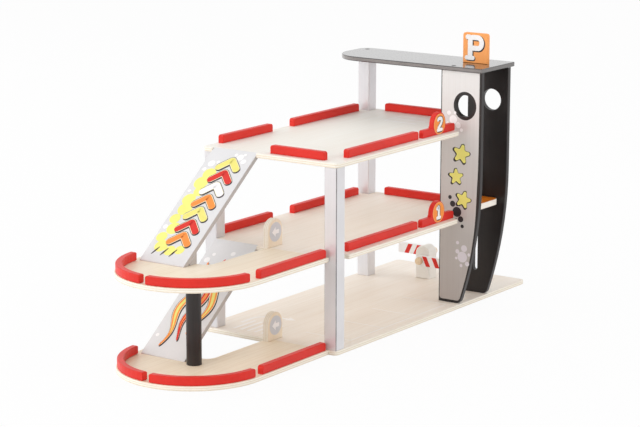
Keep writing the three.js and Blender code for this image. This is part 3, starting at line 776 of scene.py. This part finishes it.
@dataclass(frozen=True)
class Ink:
    """A thin raised print on a face: how far it stands out and how wide its soft rim is."""

    face: Face
    finish: Finish
    base: float = 0.0
    thickness: float = 0.16
    rim: float = 0.1
    slot: str = ""
    body: str = "garage"
    shoulder: float = 0.3
    inner_shares: Triple = (0.66, 0.33, 0.05)
    least_end: float = 0.02

    @property
    def top(self) -> float:
        """Height of the print's top over the face."""
        return self.base + self.thickness

    def _print(self, name: str, flat: np.ndarray, heights: np.ndarray, loop: bool = False) -> Piece:
        """Makes and dresses a print, and rides it on its body.

        Args:
            name: the print's name.
            flat: rings of points across and up the face.
            heights: their heights over the face.
            loop: whether the rings go round and meet.

        Returns:
            The print.
        """
        piece = closed_mesh(name, self.face.place(flat, heights), loop)
        piece.data.materials.append(self.finish.material())
        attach(piece, self.body)
        log.info("printed %s", name)
        return piece

    def pad(self, name: str, outline: np.ndarray) -> Piece:
        """A filled shape: rings of its outline, drawn in towards its middle over a soft rim.

        Args:
            name: the print's name.
            outline: closed outline, which every ray from its mean point meets once.

        Returns:
            The print: middle + (outline - middle) * (1 - inset / distance) * share, where the
            inset grows over the rim and the share then falls towards the middle.
        """
        middle = outline.mean(axis=0)
        arms = outline - middle
        reach = np.linalg.norm(arms, axis=1, keepdims=True)
        shoulder = self.shoulder * self.rim
        insets = np.array([0, 0, shoulder, self.rim])[:, None, None]
        edge = middle + arms * (1 - insets / reach)
        inner_shares = np.array(self.inner_shares)[:, None, None]
        inner = middle + arms * (1 - self.rim / reach) * inner_shares
        flat = np.concatenate([[middle + arms * self.inner_shares[-1]], edge, inner])
        heights = [self.base, self.base, self.top - self.rim, self.top - shoulder]
        return self._print(name, flat, np.array([*heights, *[self.top] * 4])[:, None])

    def dots(self, name: str, places: list[Triple], count: int = 96,
             step: float = 0.0) -> list[Piece]:
        """Round dots.

        Args:
            name: what they are called before their number.
            places: across, up and radius of each.
            count: points round each.
            step: how much higher each lies than the one before.

        Returns:
            The prints.
        """
        return [replace(self, base=self.base + step * number).pad(
            f"{name}_{number}", circle(radius, (x, y), count))
            for number, (x, y, radius) in enumerate(places)]

    def band(self, name: str, inner: np.ndarray, outer: np.ndarray, rows: int) -> Piece:
        """A filled loop between two closed outlines of as many points, with soft rims.

        Args:
            name: the print's name.
            inner: inner outline.
            outer: outer outline.
            rows: how many rows of faces lie between the rims.

        Returns:
            The print: inner + (outer - inner) * share, on a section that rises at each rim.
        """
        span = outer - inner
        soft = self.rim / np.linalg.norm(span, axis=1, keepdims=True)
        between = [soft + (1 - 2 * soft) * row / rows for row in range(rows + 1)]
        shares = [0 * soft, 0 * soft, *between, 1 + 0 * soft, 1 + 0 * soft]
        low = self.top - self.rim
        heights = np.array([self.base, low, *[self.top] * (rows + 1), low, self.base])
        flat = np.stack([inner + span * share for share in shares], axis=1)
        return self._print(name, flat, heights[None, :], loop=True)

    def stroke(self, name: str, path: np.ndarray, width: float, ends: float = 1.0,
               taper: float = 0.0) -> Piece:
        """A line of some width, carried along a path.

        Args:
            name: the print's name.
            path: points of the centreline.
            width: full width of the line.
            ends: 1 for round ends, 0 for square ones.
            taper: share of the width that is lost towards both ends.

        Returns:
            The print: centreline + normal * half the width * the section's place, where half the
            width follows a quarter circle at a round end.
        """
        half = width / 2
        share = 0.5 - 0.5 * np.cos(np.linspace(0, np.pi, len(path)))
        line, length = read_path(path, share)
        along = np.gradient(line, axis=0)
        along /= np.linalg.norm(along, axis=1, keepdims=True) + 1e-12
        normal = np.stack([-along[:, 1], along[:, 0]], axis=-1)
        inside = np.clip(1 - length * np.minimum(share, 1 - share) / half, 0, 1)
        rounded = half * np.sqrt(np.clip(1 - inside ** 2, self.least_end ** 2, 1))
        reach = ends * rounded + (1 - ends) * half
        reach *= 1 - taper * np.cos(np.pi * share) ** 2
        soft = np.minimum(self.rim, reach / 2)
        sides = [-reach, -reach, -reach + soft, reach - soft, reach, reach]
        low = self.top - self.rim
        heights = np.array([self.base, low, self.top, self.top, low, self.base])
        flat = np.stack([line + normal * side[:, None] for side in sides], axis=1)
        return self._print(name, flat, heights[None, :])


def dress(finish: Finish, *nodes: str) -> None:
    """Gives CAD pieces a finish.

    Args:
        finish: the finish.
        nodes: names of the pieces.
    """
    for piece in (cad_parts[name] for name in nodes):
        if not piece.material_slots:
            piece.data.materials.append(None)
        for place in piece.material_slots:
            place.material = finish.material()
        log.info("dressed %s in %s", piece.name, finish.name)


# Sub-assemblies


@dataclass
class Boards:
    """Base, decks and tracks, with the thin lines printed on them.

    Places on a board are measured from the outer corner of the front left post.
    """

    corner: Spot = (-128.5, -106.25)
    bay_line: float = 1.8
    bays: tuple[float, ...] = (62, 150, 238, 326)
    bay_ends: Spot = (17, 98)
    deck_bays: tuple[float, ...] = (346, 370, 394)
    deck_bay_ends: Spot = (88, 148)
    shaft: tuple[Spot, ...] = ((52, 212), (92, 212), (108, 190), (108, 166))
    shaft_width: float = 5.0
    head: tuple[Spot, ...] = ((108, 150), (117, 166), (99, 166))
    stripes: tuple[float, ...] = (148, 161, 174, 187, 200)
    stripe_ends: Spot = (18, 72)
    stripe_width: float = 4.5

    def build(self) -> list[Piece]:
        """Dresses the boards and prints their lines: before and between the bays, and on the lane.

        Returns:
            The prints.
        """
        dress(PLYWOOD, "base_board", "level_1_deck")
        dress(PALE_PLYWOOD, "level_2_deck")
        dress(TRACK_PLYWOOD, "ground_track", "level_1_track")
        near, far = self.bay_ends
        bays = [[(self.bays[0], near), (self.bays[-1], near)]]
        bays += [[(x, near), (x, far)] for x in self.bays]
        near, far = self.deck_bay_ends
        deck = [[(x, near), (x, far)] for x in self.deck_bays]
        deck.append([(self.deck_bays[0], far), (self.deck_bays[-1], far)])
        return [*self.lines("base_board", "bay_line", bays, self.bay_line, 40),
                *self.lane_arrow("base_board"),
                *self.lines("level_2_deck", "bay_line", deck, self.bay_line, 40)]

    def spots(self, node: str, places: list[Spot]) -> np.ndarray:
        """Places on a board's top, from its middle."""
        return np.array(places) + self.corner - middle_of(node)[:2]

    def ink(self, node: str) -> Ink:
        """The pale print of a board, whiter on the pale top deck."""
        finish = WHITE_INK if node == "level_2_deck" else FAINT_INK
        return Ink(Face.of(node, Side.TOP), finish, thickness=0.12, rim=0.05, slot="white_paint")

    def lines(self, node: str, name: str, runs: list[list[Spot]], width: float,
              count: int) -> list[Piece]:
        """Straight lines with square ends.

        Args:
            node: the board.
            name: what they are called before their number.
            runs: start and end of each.
            width: their width.
            count: points of each.

        Returns:
            The prints.
        """
        print_on = self.ink(node)
        paths = [bent(self.spots(node, run), 0, count) for run in runs]
        return [print_on.stroke(f"{node}_{name}_{number}", path, width, ends=0)
                for number, path in enumerate(paths)]

    def lane_arrow(self, node: str) -> list[Piece]:
        """A bent arrow on the lane from the ramp, with short stripes beside it.

        Args:
            node: the board.

        Returns:
            The prints.
        """
        print_on = self.ink(node)
        shaft = bent(self.spots(node, self.shaft), 24)
        head = polygon(self.spots(node, self.head), 1.5)
        stripes = [[(x, y) for x in self.stripe_ends] for y in self.stripes]
        return [print_on.stroke(f"{node}_lane_arrow_shaft", shaft, self.shaft_width, ends=0),
                print_on.pad(f"{node}_lane_arrow_head", head),
                *self.lines(node, "lane_stripe", stripes, self.stripe_width, 12)]


@dataclass
class Posts:
    """The square silver posts and the round black one under the upper landing."""

    def build(self) -> list[Piece]:
        """Dresses the posts.

        Returns:
            No new pieces.
        """
        dress(DARK_CORNERED_SILVER, "front_left_post")
        dress(SILVER, "back_left_post", "back_right_post")
        dress(BLACK, "landing_post")
        return []


@dataclass
class Ramps:
    """The two ramps with their printed patterns: arrowheads above, waves below."""

    toe: float = 1.4
    shadow: float = 1.9
    outline: float = 1.8
    pale_rim: float = 0.9
    first_arrowhead: float = -66.0
    arrowhead_step: float = 24.5
    arrowhead_width: float = 10.4
    arrowhead_corners: Triple = (-14, 6, 26)
    arrowhead_rise: float = 10.0
    dashes: Triple = (-22, -6, 10)
    dash_ends: Spot = (-99, -84)
    dash_width: float = 3.0
    waves_across: Triple = (-19, 1, 20)
    wave_width: float = 11.0
    wave_reach: float = 6.0
    wave_length: float = 15.0
    wave_lag: float = 1.3
    wave_taper: float = 0.72
    wave_middle: float = 5.0
    trail: tuple[Triple, ...] = (
        (-18, 60, 11), (-22, 42, 12), (-15, 26, 10), (-24, 8, 11), (-20, -10, 12), (-26, -30, 9),
        (-18, -48, 11), (-28, -66, 9), (-19, -82, 11), (0, -88, 9), (16, -84, 8))
    upper_dots: tuple[Triple, ...] = (
        (16, 98, 6), (26, 91, 4.5), (7, 102, 3), (22, 104, 2.5), (-26, 80, 6), (-32, 68, 3.4),
        (-16, 84, 3), (-33, -47, 4), (-33, 24, 2.6))
    lower_dots: tuple[Triple, ...] = (
        (-30, 70, 5), (-24, 82, 3), (8, 88, 4), (32, 90, 3), (-32, -76, 3))

    def build(self) -> list[Piece]:
        """Dresses the ramps and prints their patterns."""
        dress(RAMP_SILVER, "lower_ramp", "lower_ramp_wedge", "upper_ramp", "upper_ramp_wedge")
        return [*self.arrowheads("upper_ramp"), *self.waves("lower_ramp")]

    def ink(self, node: str, finish: Finish, base: float = 0.0) -> Ink:
        """A print of one finish on a ramp."""
        return Ink(Face.slope(node, self.toe), finish, base)

    def line(self, name: str, path: np.ndarray, width: float, taper: float, node: str,
             finish: Finish) -> list[Piece]:
        """A thick line with a pale rim on a dark outline that stands out to the lower right.

        Args:
            name: the line's name.
            path: points of its centreline.
            width: its full width without the outline.
            taper: share of the width that is lost towards both ends.
            node: the ramp.
            finish: its finish.

        Returns:
            The outline's shifted shadow, the outline, the rim and the line, each on the one before.
        """
        shifted = path + (self.shadow, -self.shadow)
        full = width + 2 * self.pale_rim
        layers = [("_shadow", DARK_INK, 0.1, shifted, full + 0.6),
                  ("_outline", DARK_INK, 0.12, path, full + self.outline),
                  ("_rim", CREAM_INK, 0.2, path, full), ("", finish, 0.28, path, width)]
        return [self.ink(node, ink, base).stroke(f"{node}_{name}{layer}", way, wide, 1, taper)
                for layer, ink, base, way, wide in layers]

    def arrowheads(self, node: str) -> list[Piece]:
        """A trail of arrowheads that climbs the ramp beside pale dots.

        Args:
            node: the ramp.

        Returns:
            The prints.
        """
        made = self.ink(node, PALE_YELLOW_INK).dots(f"{node}_dot", self.trail, step=0.003)
        made += self.ink(node, WHITE_INK, 0.05).dots(f"{node}_pale_dot", self.upper_dots)
        colours = (ORANGE_INK, RED_INK, YELLOW_INK, ORANGE_INK, WHITE_INK, RED_INK, YELLOW_INK)
        for number, finish in enumerate(colours):
            y = self.first_arrowhead + self.arrowhead_step * number
            rises = (y - self.arrowhead_rise, y + self.arrowhead_rise, y - self.arrowhead_rise)
            path = bent([*zip(self.arrowhead_corners, rises)], 3)
            made += self.line(f"arrowhead_{number}", path, self.arrowhead_width, 0, node, finish)
        dash = self.ink(node, DARK_INK, 0.1)
        for number, x in enumerate(self.dashes):
            path = bent([*zip((x - 5, x + 2), self.dash_ends)], 0)
            made.append(dash.stroke(f"{node}_dash_{number}", path, self.dash_width, taper=0.5))
        return made

    def waves(self, node: str) -> list[Piece]:
        """Three waves that climb the ramp: a sine across, along the slope, thinner at the ends.

        A wave's middle lies across at its place + reach * sine of (climb / length + lag * number),
        and inside each wave runs a thinner one of another colour.

        Args:
            node: the ramp.

        Returns:
            The prints.
        """
        made = []
        colours = [(ORANGE_INK, YELLOW_INK), (RED_INK, ORANGE_INK), (ORANGE_INK, YELLOW_INK)]
        for number, (x, (finish, inside)) in enumerate(zip(self.waves_across, colours)):
            climb = np.linspace(-94 + 14 * number, 66 + 10 * number, 160)
            sway = self.wave_reach * np.sin(climb / self.wave_length + self.wave_lag * number)
            path = np.stack([x + sway, climb], axis=-1)
            made += self.line(f"wave_{number}", path, self.wave_width, self.wave_taper, node,
                              finish)
            middle = self.ink(node, inside, 0.36)
            made.append(middle.stroke(f"{node}_wave_middle_{number}", path[24:-24],
                                      self.wave_middle, taper=self.wave_taper))
        return made + self.ink(node, WHITE_INK).dots(f"{node}_pale_dot", self.lower_dots)


@dataclass
class Kerbs:
    """The red kerbs round the lanes, and the floors' numbers on orange discs."""

    disc: float = 15.8
    rim: float = 0.8
    line: float = 5.4
    outline: float = 8.2
    shift: Spot = (0.4, -0.3)

    def build(self) -> list[Piece]:
        """Dresses every kerb and prints the numbers.

        Returns:
            The prints.
        """
        dress(RED, *[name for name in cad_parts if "kerb" in name])
        one = [[(-6.2, 4.6), (0.4, 8.6), (0.4, -8.6)], [(-6.4, -8.6), (7.0, -8.6)]]
        two = [[(-5.6, 4.4), (-4.2, 8.0), (0.2, 9.0), (4.8, 7.8), (5.8, 4.2), (3.6, 0.2),
                (-5.2, -7.0)], [(-8.2, -8.8), (8.4, -8.8)]]
        return [*self.number("number_kerb_1", (1.0, -0.4), one),
                *self.number("number_kerb_2", (1.0, -1.1), two)]

    def number(self, node: str, middle: Spot, strokes: list[list[Spot]]) -> list[Piece]:
        """A plain white number with a dark outline on an orange disc with a paler rim.

        Args:
            node: the kerb with the hump.
            middle: middle of the disc, from the middle of the kerb's face.
            strokes: corners of the number's lines, from the disc's middle.

        Returns:
            The prints.
        """
        face = Face.of(node, Side.FRONT)
        pale = Ink(face, APRICOT_INK, slot="orange_paint")
        disc = Ink(face, ORANGE_INK, 0.08, slot="orange_paint")
        made = [pale.pad(f"{node}_disc_rim", circle(self.disc, middle)),
                disc.pad(f"{node}_disc", circle(self.disc - self.rim, middle))]
        for number, corners in enumerate(strokes):
            path = bent(corners, 2.0) + middle
            shifted = path + self.shift
            dark = Ink(face, DARK_INK, 0.16, 0.14 + 0.01 * number)
            made.append(dark.stroke(f"{node}_number_outline_{number}", shifted, self.outline))
            white = Ink(face, WHITE_INK, 0.24, 0.2 + 0.01 * number, slot="white_paint")
            made.append(white.stroke(f"{node}_number_{number}", path, self.line))
        return made


@dataclass
class ArrowSigns:
    """The two wooden signs with a white arrow on a grey disc."""

    disc: float = 14.5
    disc_height: float = 1.05
    half_length: float = 8.5
    half_width: float = 7.5
    half_shaft: float = 3.0

    def build(self) -> list[Piece]:
        """Dresses the signs and prints their arrows, each a head on the left half and a shaft.

        Returns:
            The prints.
        """
        dress(SIGN_PLYWOOD, "ground_arrow_sign", "level_1_arrow_sign")
        tip, wide, shaft = self.half_length, self.half_width, self.half_shaft
        corners = [(-tip, 0), (0, wide), (0, shaft), (tip, shaft), (tip, -shaft), (0, -shaft),
                   (0, -wide)]
        middle = (0, self.disc_height)
        made = []
        for node in ("ground_arrow_sign", "level_1_arrow_sign"):
            face = Face.of(node, Side.FRONT)
            grey = Ink(face, DISC_INK, slot="silver_paint")
            made.append(grey.pad(f"{node}_disc", circle(self.disc, middle)))
            white = Ink(face, WHITE_INK, 0.1, slot="white_paint")
            made.append(white.pad(f"{node}_arrow", polygon(np.array(corners) + middle, 1.2)))
        return made


@dataclass
class Tower:
    """The black lift tower: two tall panels, the roof and the parking sign.

    Places on the inner panel are its depth behind the posts' front and its height.
    """

    border: float = 2.6
    upper_border: float = 1.1
    widest: Triple = (1.5, 188.0, 36.0)
    back_border: float = 2.0
    top: float = 375.2
    foot: float = 11.5
    reach: float = 33.2
    back: float = 40.0
    sweep_height: float = 215.0
    sweep_radius: float = 650.0
    window: Spot = (-3.8, 322.0)
    ring: Spot = (20.4, 22.2)
    letter_shift: Spot = (1.3, -1.1)
    letter_rim: float = 1.4

    def build(self) -> list[Piece]:
        """Dresses the tower and adds its prints.

        Returns:
            The prints.
        """
        dress(BLACK, "tower_inner_panel", "tower_outer_panel")
        dress(BLACK_GLOSS, "tower_roof")
        dress(SIGN_ORANGE, "parking_sign")
        return [self.silver_print(), *self.stars(), *self.dots(), *self.letter()]

    def on_panel(self, places: np.ndarray) -> np.ndarray:
        """Places across and up the inner panel's face."""
        middle = np.array([(self.back - self.reach) / 2, -middle_of("tower_inner_panel")[2]])
        return middle + np.array(places) * (-1, 1)

    def ink(self, finish: Finish, base: float, slot: str = "") -> Ink:
        """A print of one finish on the inner panel."""
        return Ink(Face.of("tower_inner_panel", Side.LEFT), finish, base, slot=slot)

    def silver_print(self) -> Piece:
        """Silver field of the inner panel, a little inside its edges and round the window's ring.

        The front edge is straight down to the sweep and then follows a circle:
        depth = radius - reach - root of (radius squared - drop squared). The border grows with the
        height, and once more as a bell curve where the sweep starts. The field lies between the
        ring, which is a little taller than wide, and that outline, along rays from the window.

        Returns:
            The print.
        """
        heights = np.linspace(self.top, self.foot, 60)
        drop = np.clip(self.sweep_height - heights, 0, None)
        extra, widest_height, spread = self.widest
        front = self.sweep_radius - self.reach - np.sqrt(self.sweep_radius ** 2 - drop ** 2)
        front += self.border + self.upper_border * np.clip((heights - 90) / 60, 0, 1)
        front += extra * np.exp(-((heights - widest_height) / spread) ** 2)
        rear = self.back - self.back_border
        corners = [*zip(front, heights), (rear, self.foot), (rear, self.top)]
        outline = even_steps(np.array(corners), 420, closed=True)
        round_foot = softened(outline, 5, closed=True)
        outline = self.on_panel(np.where(outline[:, 1:] < self.sweep_height, round_foot, outline))
        window = self.on_panel(self.window)
        arms = outline - window
        ring = window + self.ring * arms / np.linalg.norm(arms, axis=1, keepdims=True)
        silver = self.ink(PRINT_SILVER, 0, "silver_paint")
        return silver.band("inner_panel_silver_print", ring, outline, rows=4)

    def stars(self) -> list[Piece]:
        """Three yellow stars with pale rims on dark outlines, which stand out to the lower left.

        Returns:
            The prints.
        """
        places = [(1.1, 246.5, 17.2, -12), (10.2, 209.6, 14.4, 3), (-3.5, 174.6, 15.6, -16)]
        layers = [("outline", DARK_INK, 1.0, (-1.3, -0.9), 0.1),
                  ("outline_edge", DARK_INK, 0.97, (0, 0), 0.12),
                  ("rim", PALE_YELLOW_INK, 0.87, (0, 0), 0.2),
                  ("middle", YELLOW_INK, 0.74, (0.2, 0), 0.28)]
        return [self.ink(finish, base).pad(
            f"star_{number}_{name}",
            star(radius * share, turn, self.on_panel((depth, height)) + shift))
            for number, (depth, height, radius, turn) in enumerate(places)
            for name, finish, share, shift, base in layers]

    def dots(self) -> list[Piece]:
        """Loose groups of round dots, pale near the window and the foot and dark between.

        Returns:
            The prints.
        """
        groups = [
            (WHITE_INK, [(17, 299, 6.8), (8, 291, 4.6), (25, 309, 3.4), (2, 284, 2.8),
                         (14, 310, 2.4), (27, 293, 2.2)]),
            (DARK_INK, [(8, 154, 8.0), (16, 166, 4.8), (4, 167, 3.4), (1, 143, 4.8),
                        (21, 176, 3.2), (-2, 132, 3.0), (18, 150, 3.0), (9, 141, 2.4)]),
            (PALE_INK, [(-3, 83, 8.6), (-6, 97, 5.4), (6, 91, 3.6), (6, 105, 2.8),
                        (-12, 73, 3.8), (-1, 69, 2.6), (-15, 88, 2.6), (8, 80, 2.2)]),
        ]
        made = []
        for group, (finish, places) in enumerate(groups):
            moved = [(*self.on_panel(place), radius) for *place, radius in places]
            made += self.ink(finish, 0.1).dots(f"dot_{group}", moved, 48)
        return made

    def letter(self) -> list[Piece]:
        """The plain white letter of a parking sign, with a dark shadow to its lower right.

        Returns:
            The prints: a stem, a bowl that is half an ellipse, and two short cross lines.
        """
        face = Face.of("parking_sign", Side.LEFT)
        turn = np.radians(np.linspace(90, -90, 40))
        bowl = turned(1, turn) * (7.2, 8.4) + (4.6, 8.2)
        lines = [([(-9.0, 15.0), (-9.0, -15.0)], 8.6), ([(-9, 16.6), *bowl, (-9, -0.2)], 8.0),
                 ([(-17.6, 16.7), (-6, 16.7)], 7.6), ([(-18.6, -15.6), (-0.6, -15.6)], 6.8)]
        made = []
        for number, (corners, width) in enumerate(lines):
            path = even_steps(np.array(corners), 90)
            shifted = path + self.letter_shift
            dark = Ink(face, DARK_INK, 0, 0.14 + 0.01 * number)
            made.append(dark.stroke(f"letter_shadow_{number}", shifted, width + self.letter_rim))
            white = Ink(face, WHITE_INK, 0.1, 0.18 + 0.01 * number, slot="white_paint")
            made.append(white.stroke(f"letter_{number}", path, width))
        return made


@dataclass
class Lift:
    """The lift: an orange board, its bracket, and the pin with washer and knob that holds it."""

    def build(self) -> list[Piece]:
        """Dresses the lift.

        Returns:
            No new pieces.
        """
        dress(LIFT_BOARD, "lift_platform")
        dress(BRACKET_PLYWOOD, "lift_bracket")
        dress(BARE_ALONG_X, "lift_pin", "lift_knob")
        dress(FELT, "lift_washer")
        return []


@dataclass
class Barrier:
    """The grey booth with its pegs and the two striped booms."""

    stripe: float = 8.3
    slant: float = 7.6
    border: float = 0.25
    near_stripes: Spot = (-14.6, 3.4)
    far_stripes: Spot = (-15.5, 2.0)

    def build(self) -> list[Piece]:
        """Dresses the barrier and prints the booms' stripes.

        Returns:
            The prints.
        """
        dress(GREY, "barrier_booth")
        dress(BARE_ALONG_X, "near_boom_peg", "far_boom_peg")
        dress(WHITE, "near_boom", "far_boom")
        return [*self.stripes("near_boom", -1, self.near_stripes),
                *self.stripes("far_boom", 1, self.far_stripes)]

    def stripes(self, node: str, lean: int, places: Spot) -> list[Piece]:
        """Slanted red stripes over a boom's two faces.

        Args:
            node: the boom.
            lean: 1 where a stripe leans to the right, and -1 to the left, on the left face.
            places: middles of the stripes across the left face, from its middle.

        Returns:
            The stripes, each a leaning field between the boom's lower and upper edge. The far face
            has them mirrored.
        """
        low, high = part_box(node)
        half = (high.z - low.z) / 2 / MM - self.border
        made = []
        for side, sign in ((Side.LEFT, 1), (Side.RIGHT, -1)):
            print_on = Ink(Face.of(node, side), RED_INK, slot="red_paint", body=node)
            for number, place in enumerate(places):
                corners = [
                    (sign * (place + (shift * self.stripe + lean * rise * self.slant) / 2),
                     rise * half) for shift, rise in ((-1, -1), (1, -1), (1, 1), (-1, 1))]
                name = f"{node}_stripe_{side.name.lower()}_{number}"
                made.append(print_on.pad(name, polygon(corners, 0.6)))
        return made


@dataclass
class Fasteners:
    """Countersunk screws with a cross recess and a thread, in place of plain ones, and dowels."""

    around: int = 48
    face_rings: int = 14
    thread_rings: int = 90
    shank: float = 1.75
    recess: float = 1.5
    arm: float = 2.3
    half_arm: float = 0.55
    pitch: float = 1.6
    ridge: float = 0.32
    brim: float = 0.15
    countersink: float = 2.5
    tip: float = 3.0

    def build(self) -> list[Piece]:
        """Builds each screw over its CAD node and dresses the dowels.

        Returns:
            The screws.
        """
        dress(BARE_UPRIGHT, *[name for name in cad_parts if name.endswith("_dowel")])
        made = []
        for name in sorted(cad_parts):
            if name.startswith("roof_screw"):
                made.append(self.screw(name, 1, DARK_SCREW))
            elif name.endswith("_screw"):
                made.append(self.screw(name, -1, SCREW_STEEL))
        return made

    def screw(self, node: str, way: int, finish: Finish) -> Piece:
        """One screw, turned about its upright axis.

        The head's radius falls straight from its rim to the shank, and the shank's is ridged as a
        triangle wave of its length. The head's flat sinks by the recess where a point lies within
        the arms of a cross, less deep towards their ends.

        Args:
            node: the screw's CAD node.
            way: 1 where the head is on top, -1 where it is below.
            finish: its finish.

        Returns:
            The screw.
        """
        low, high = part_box(node)
        length, head = (high.z - low.z) / MM, (high.x - low.x) / 2 / MM
        turn = np.linspace(0, 2 * np.pi, self.around, endpoint=False)
        shares = np.linspace(0.04, 1, self.face_rings)[:, None]
        flat = turned(shares * (head - self.brim), turn)
        near, far = abs(flat).min(axis=-1), abs(flat).max(axis=-1)
        inside = np.clip((self.half_arm - near) / 0.2 + 0.5, 0, 1)
        sink = self.recess * inside * np.clip((self.arm - far) / self.arm * 1.6, 0, 1) ** 0.6
        neck = self.countersink
        down = np.concatenate([[self.brim, 0.5, neck],
                               np.linspace(neck + 0.2, length - self.tip, self.thread_rings),
                               [length - self.tip / 2, length]])
        straight = [self.shank] * (self.thread_rings + 1)
        reach = np.array([head, head, *straight, self.shank * 0.7, 0.2])
        threaded = (down > neck + 0.1) & (down < length - 2)
        reach -= self.ridge * abs((down / self.pitch) % 1 - 0.5) * 2 * threaded
        across = np.concatenate([flat, turned(reach[:, None], turn)])
        depth = np.concatenate([sink, np.broadcast_to(down[:, None], (len(down), self.around))])
        middle = (low + high) / 2
        start = np.array([middle.x, middle.y, high.z if way > 0 else low.z])
        steps = np.concatenate([across, -way * depth[..., None]], axis=-1)
        piece = closed_mesh(node.replace("screw", "cross_screw"), start + MM * steps)
        piece.data.materials.append(finish.material())
        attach(piece, "garage")
        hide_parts(node)
        return piece


# Studio


@dataclass(frozen=True)
class Viewpoint:
    """The camera: its place in metres, its aim in degrees, and its lens."""

    place: Triple = (-2.71976, -1.90387, 0.88715)
    yaw: float = 54.82
    pitch: float = 12.09
    roll: float = 0.088
    lens: float = 126.726

    def build(self) -> None:
        """Sets the camera: it is tipped down, turned to its yaw and rolled about its own axis."""
        camera = added("camera", bpy.data.cameras.new("camera"))
        camera.data.lens = self.lens
        camera.data.sensor_width = 36
        camera.data.clip_end = 50
        turn = Matrix.Rotation(-math.radians(self.yaw), 4, "Z")
        tip = Matrix.Rotation(math.radians(90 - self.pitch), 4, "X")
        lean = Matrix.Rotation(math.radians(self.roll), 4, "Z")
        camera.matrix_world = Matrix.Translation(self.place) @ turn @ tip @ lean
        bpy.context.scene.camera = camera


@dataclass(frozen=True)
class SoftLight:
    """A square lamp that aims at the middle of the garage, and is seen in gloss or not."""

    name: str
    place: Triple
    size: float
    power: float
    mirrored: bool = True
    aim: Triple = (0, 0, 0.2)

    def build(self) -> None:
        """Adds the lamp."""
        lamp = bpy.data.lights.new(self.name, "AREA")
        lamp.shape = "SQUARE"
        lamp.size = self.size
        lamp.energy = self.power
        holder = added(self.name, lamp)
        holder.location = self.place
        holder.visible_glossy = self.mirrored
        way = Vector(self.aim) - Vector(self.place)
        holder.rotation_euler = way.to_track_quat("-Z", "Y").to_euler()


@dataclass(frozen=True)
class Studio:
    """Plain pale floor, white background and soft light."""

    floor_half: float = 6.0
    horizon_light: float = 1.05
    zenith_light: float = 0.6
    lights: tuple[SoftLight, ...] = (
        SoftLight("key light", (0.9, -3.2, 2.0), 2.4, 28),
        SoftLight("left light", (-3.3, 1.0, 1.2), 1.8, 34),
        SoftLight("back light", (-0.6, 3.4, 1.3), 3.0, 50, mirrored=False),
        SoftLight("top light", (0.2, 0.6, 3.4), 2.6, 9),
    )

    def build(self) -> None:
        """Sets the floor, the world and the lamps."""
        self.floor()
        self.world()
        for light in self.lights:
            light.build()
        bpy.context.scene.view_settings.view_transform = "Standard"

    def floor(self) -> None:
        """A square floor under the garage."""
        half = self.floor_half
        mesh = bpy.data.meshes.new("floor")
        corners = [(-half, -half, 0), (half, -half, 0), (half, half, 0), (-half, half, 0)]
        mesh.from_pydata(corners, [], [(0, 1, 2, 3)])
        mesh.materials.append(PaleFloor("pale floor").material())
        floor = added("floor", mesh)

    def world(self) -> None:
        """A white world to look at, and one to light by that fades from horizon to zenith."""
        world = bpy.data.worlds.new("studio")
        world.use_nodes = True
        nodes = Nodes(world.node_tree, "Background")
        rise = nodes.add("SeparateXYZ", {0: nodes.add("TexCoord", {}, "Generated")}, "Z")
        nodes.give("Color", (1, 1, 1))
        nodes.give("Strength", nodes.spread(rise, 0, 0.8, self.horizon_light, self.zenith_light))
        white = nodes.add("Background", {"Color": (1, 1, 1), "Strength": 1.0})
        nodes.show("World Output", nodes.seen(), nodes.shader.outputs[0], white)
        bpy.context.scene.world = world


def main() -> None:
    """Builds every sub-assembly and the studio, and logs how many new pieces each makes."""
    logging.basicConfig(level=logging.INFO, format="%(message)s")
    for part in (Boards(), Posts(), Ramps(), Kerbs(), ArrowSigns(), Tower(), Lift(), Barrier(),
                 Fasteners()):
        pieces = part.build()
        log.info("%s: %d new pieces", type(part).__name__, len(pieces))
    Viewpoint().build()
    Studio().build()


if __name__ == "__main__":
    main()
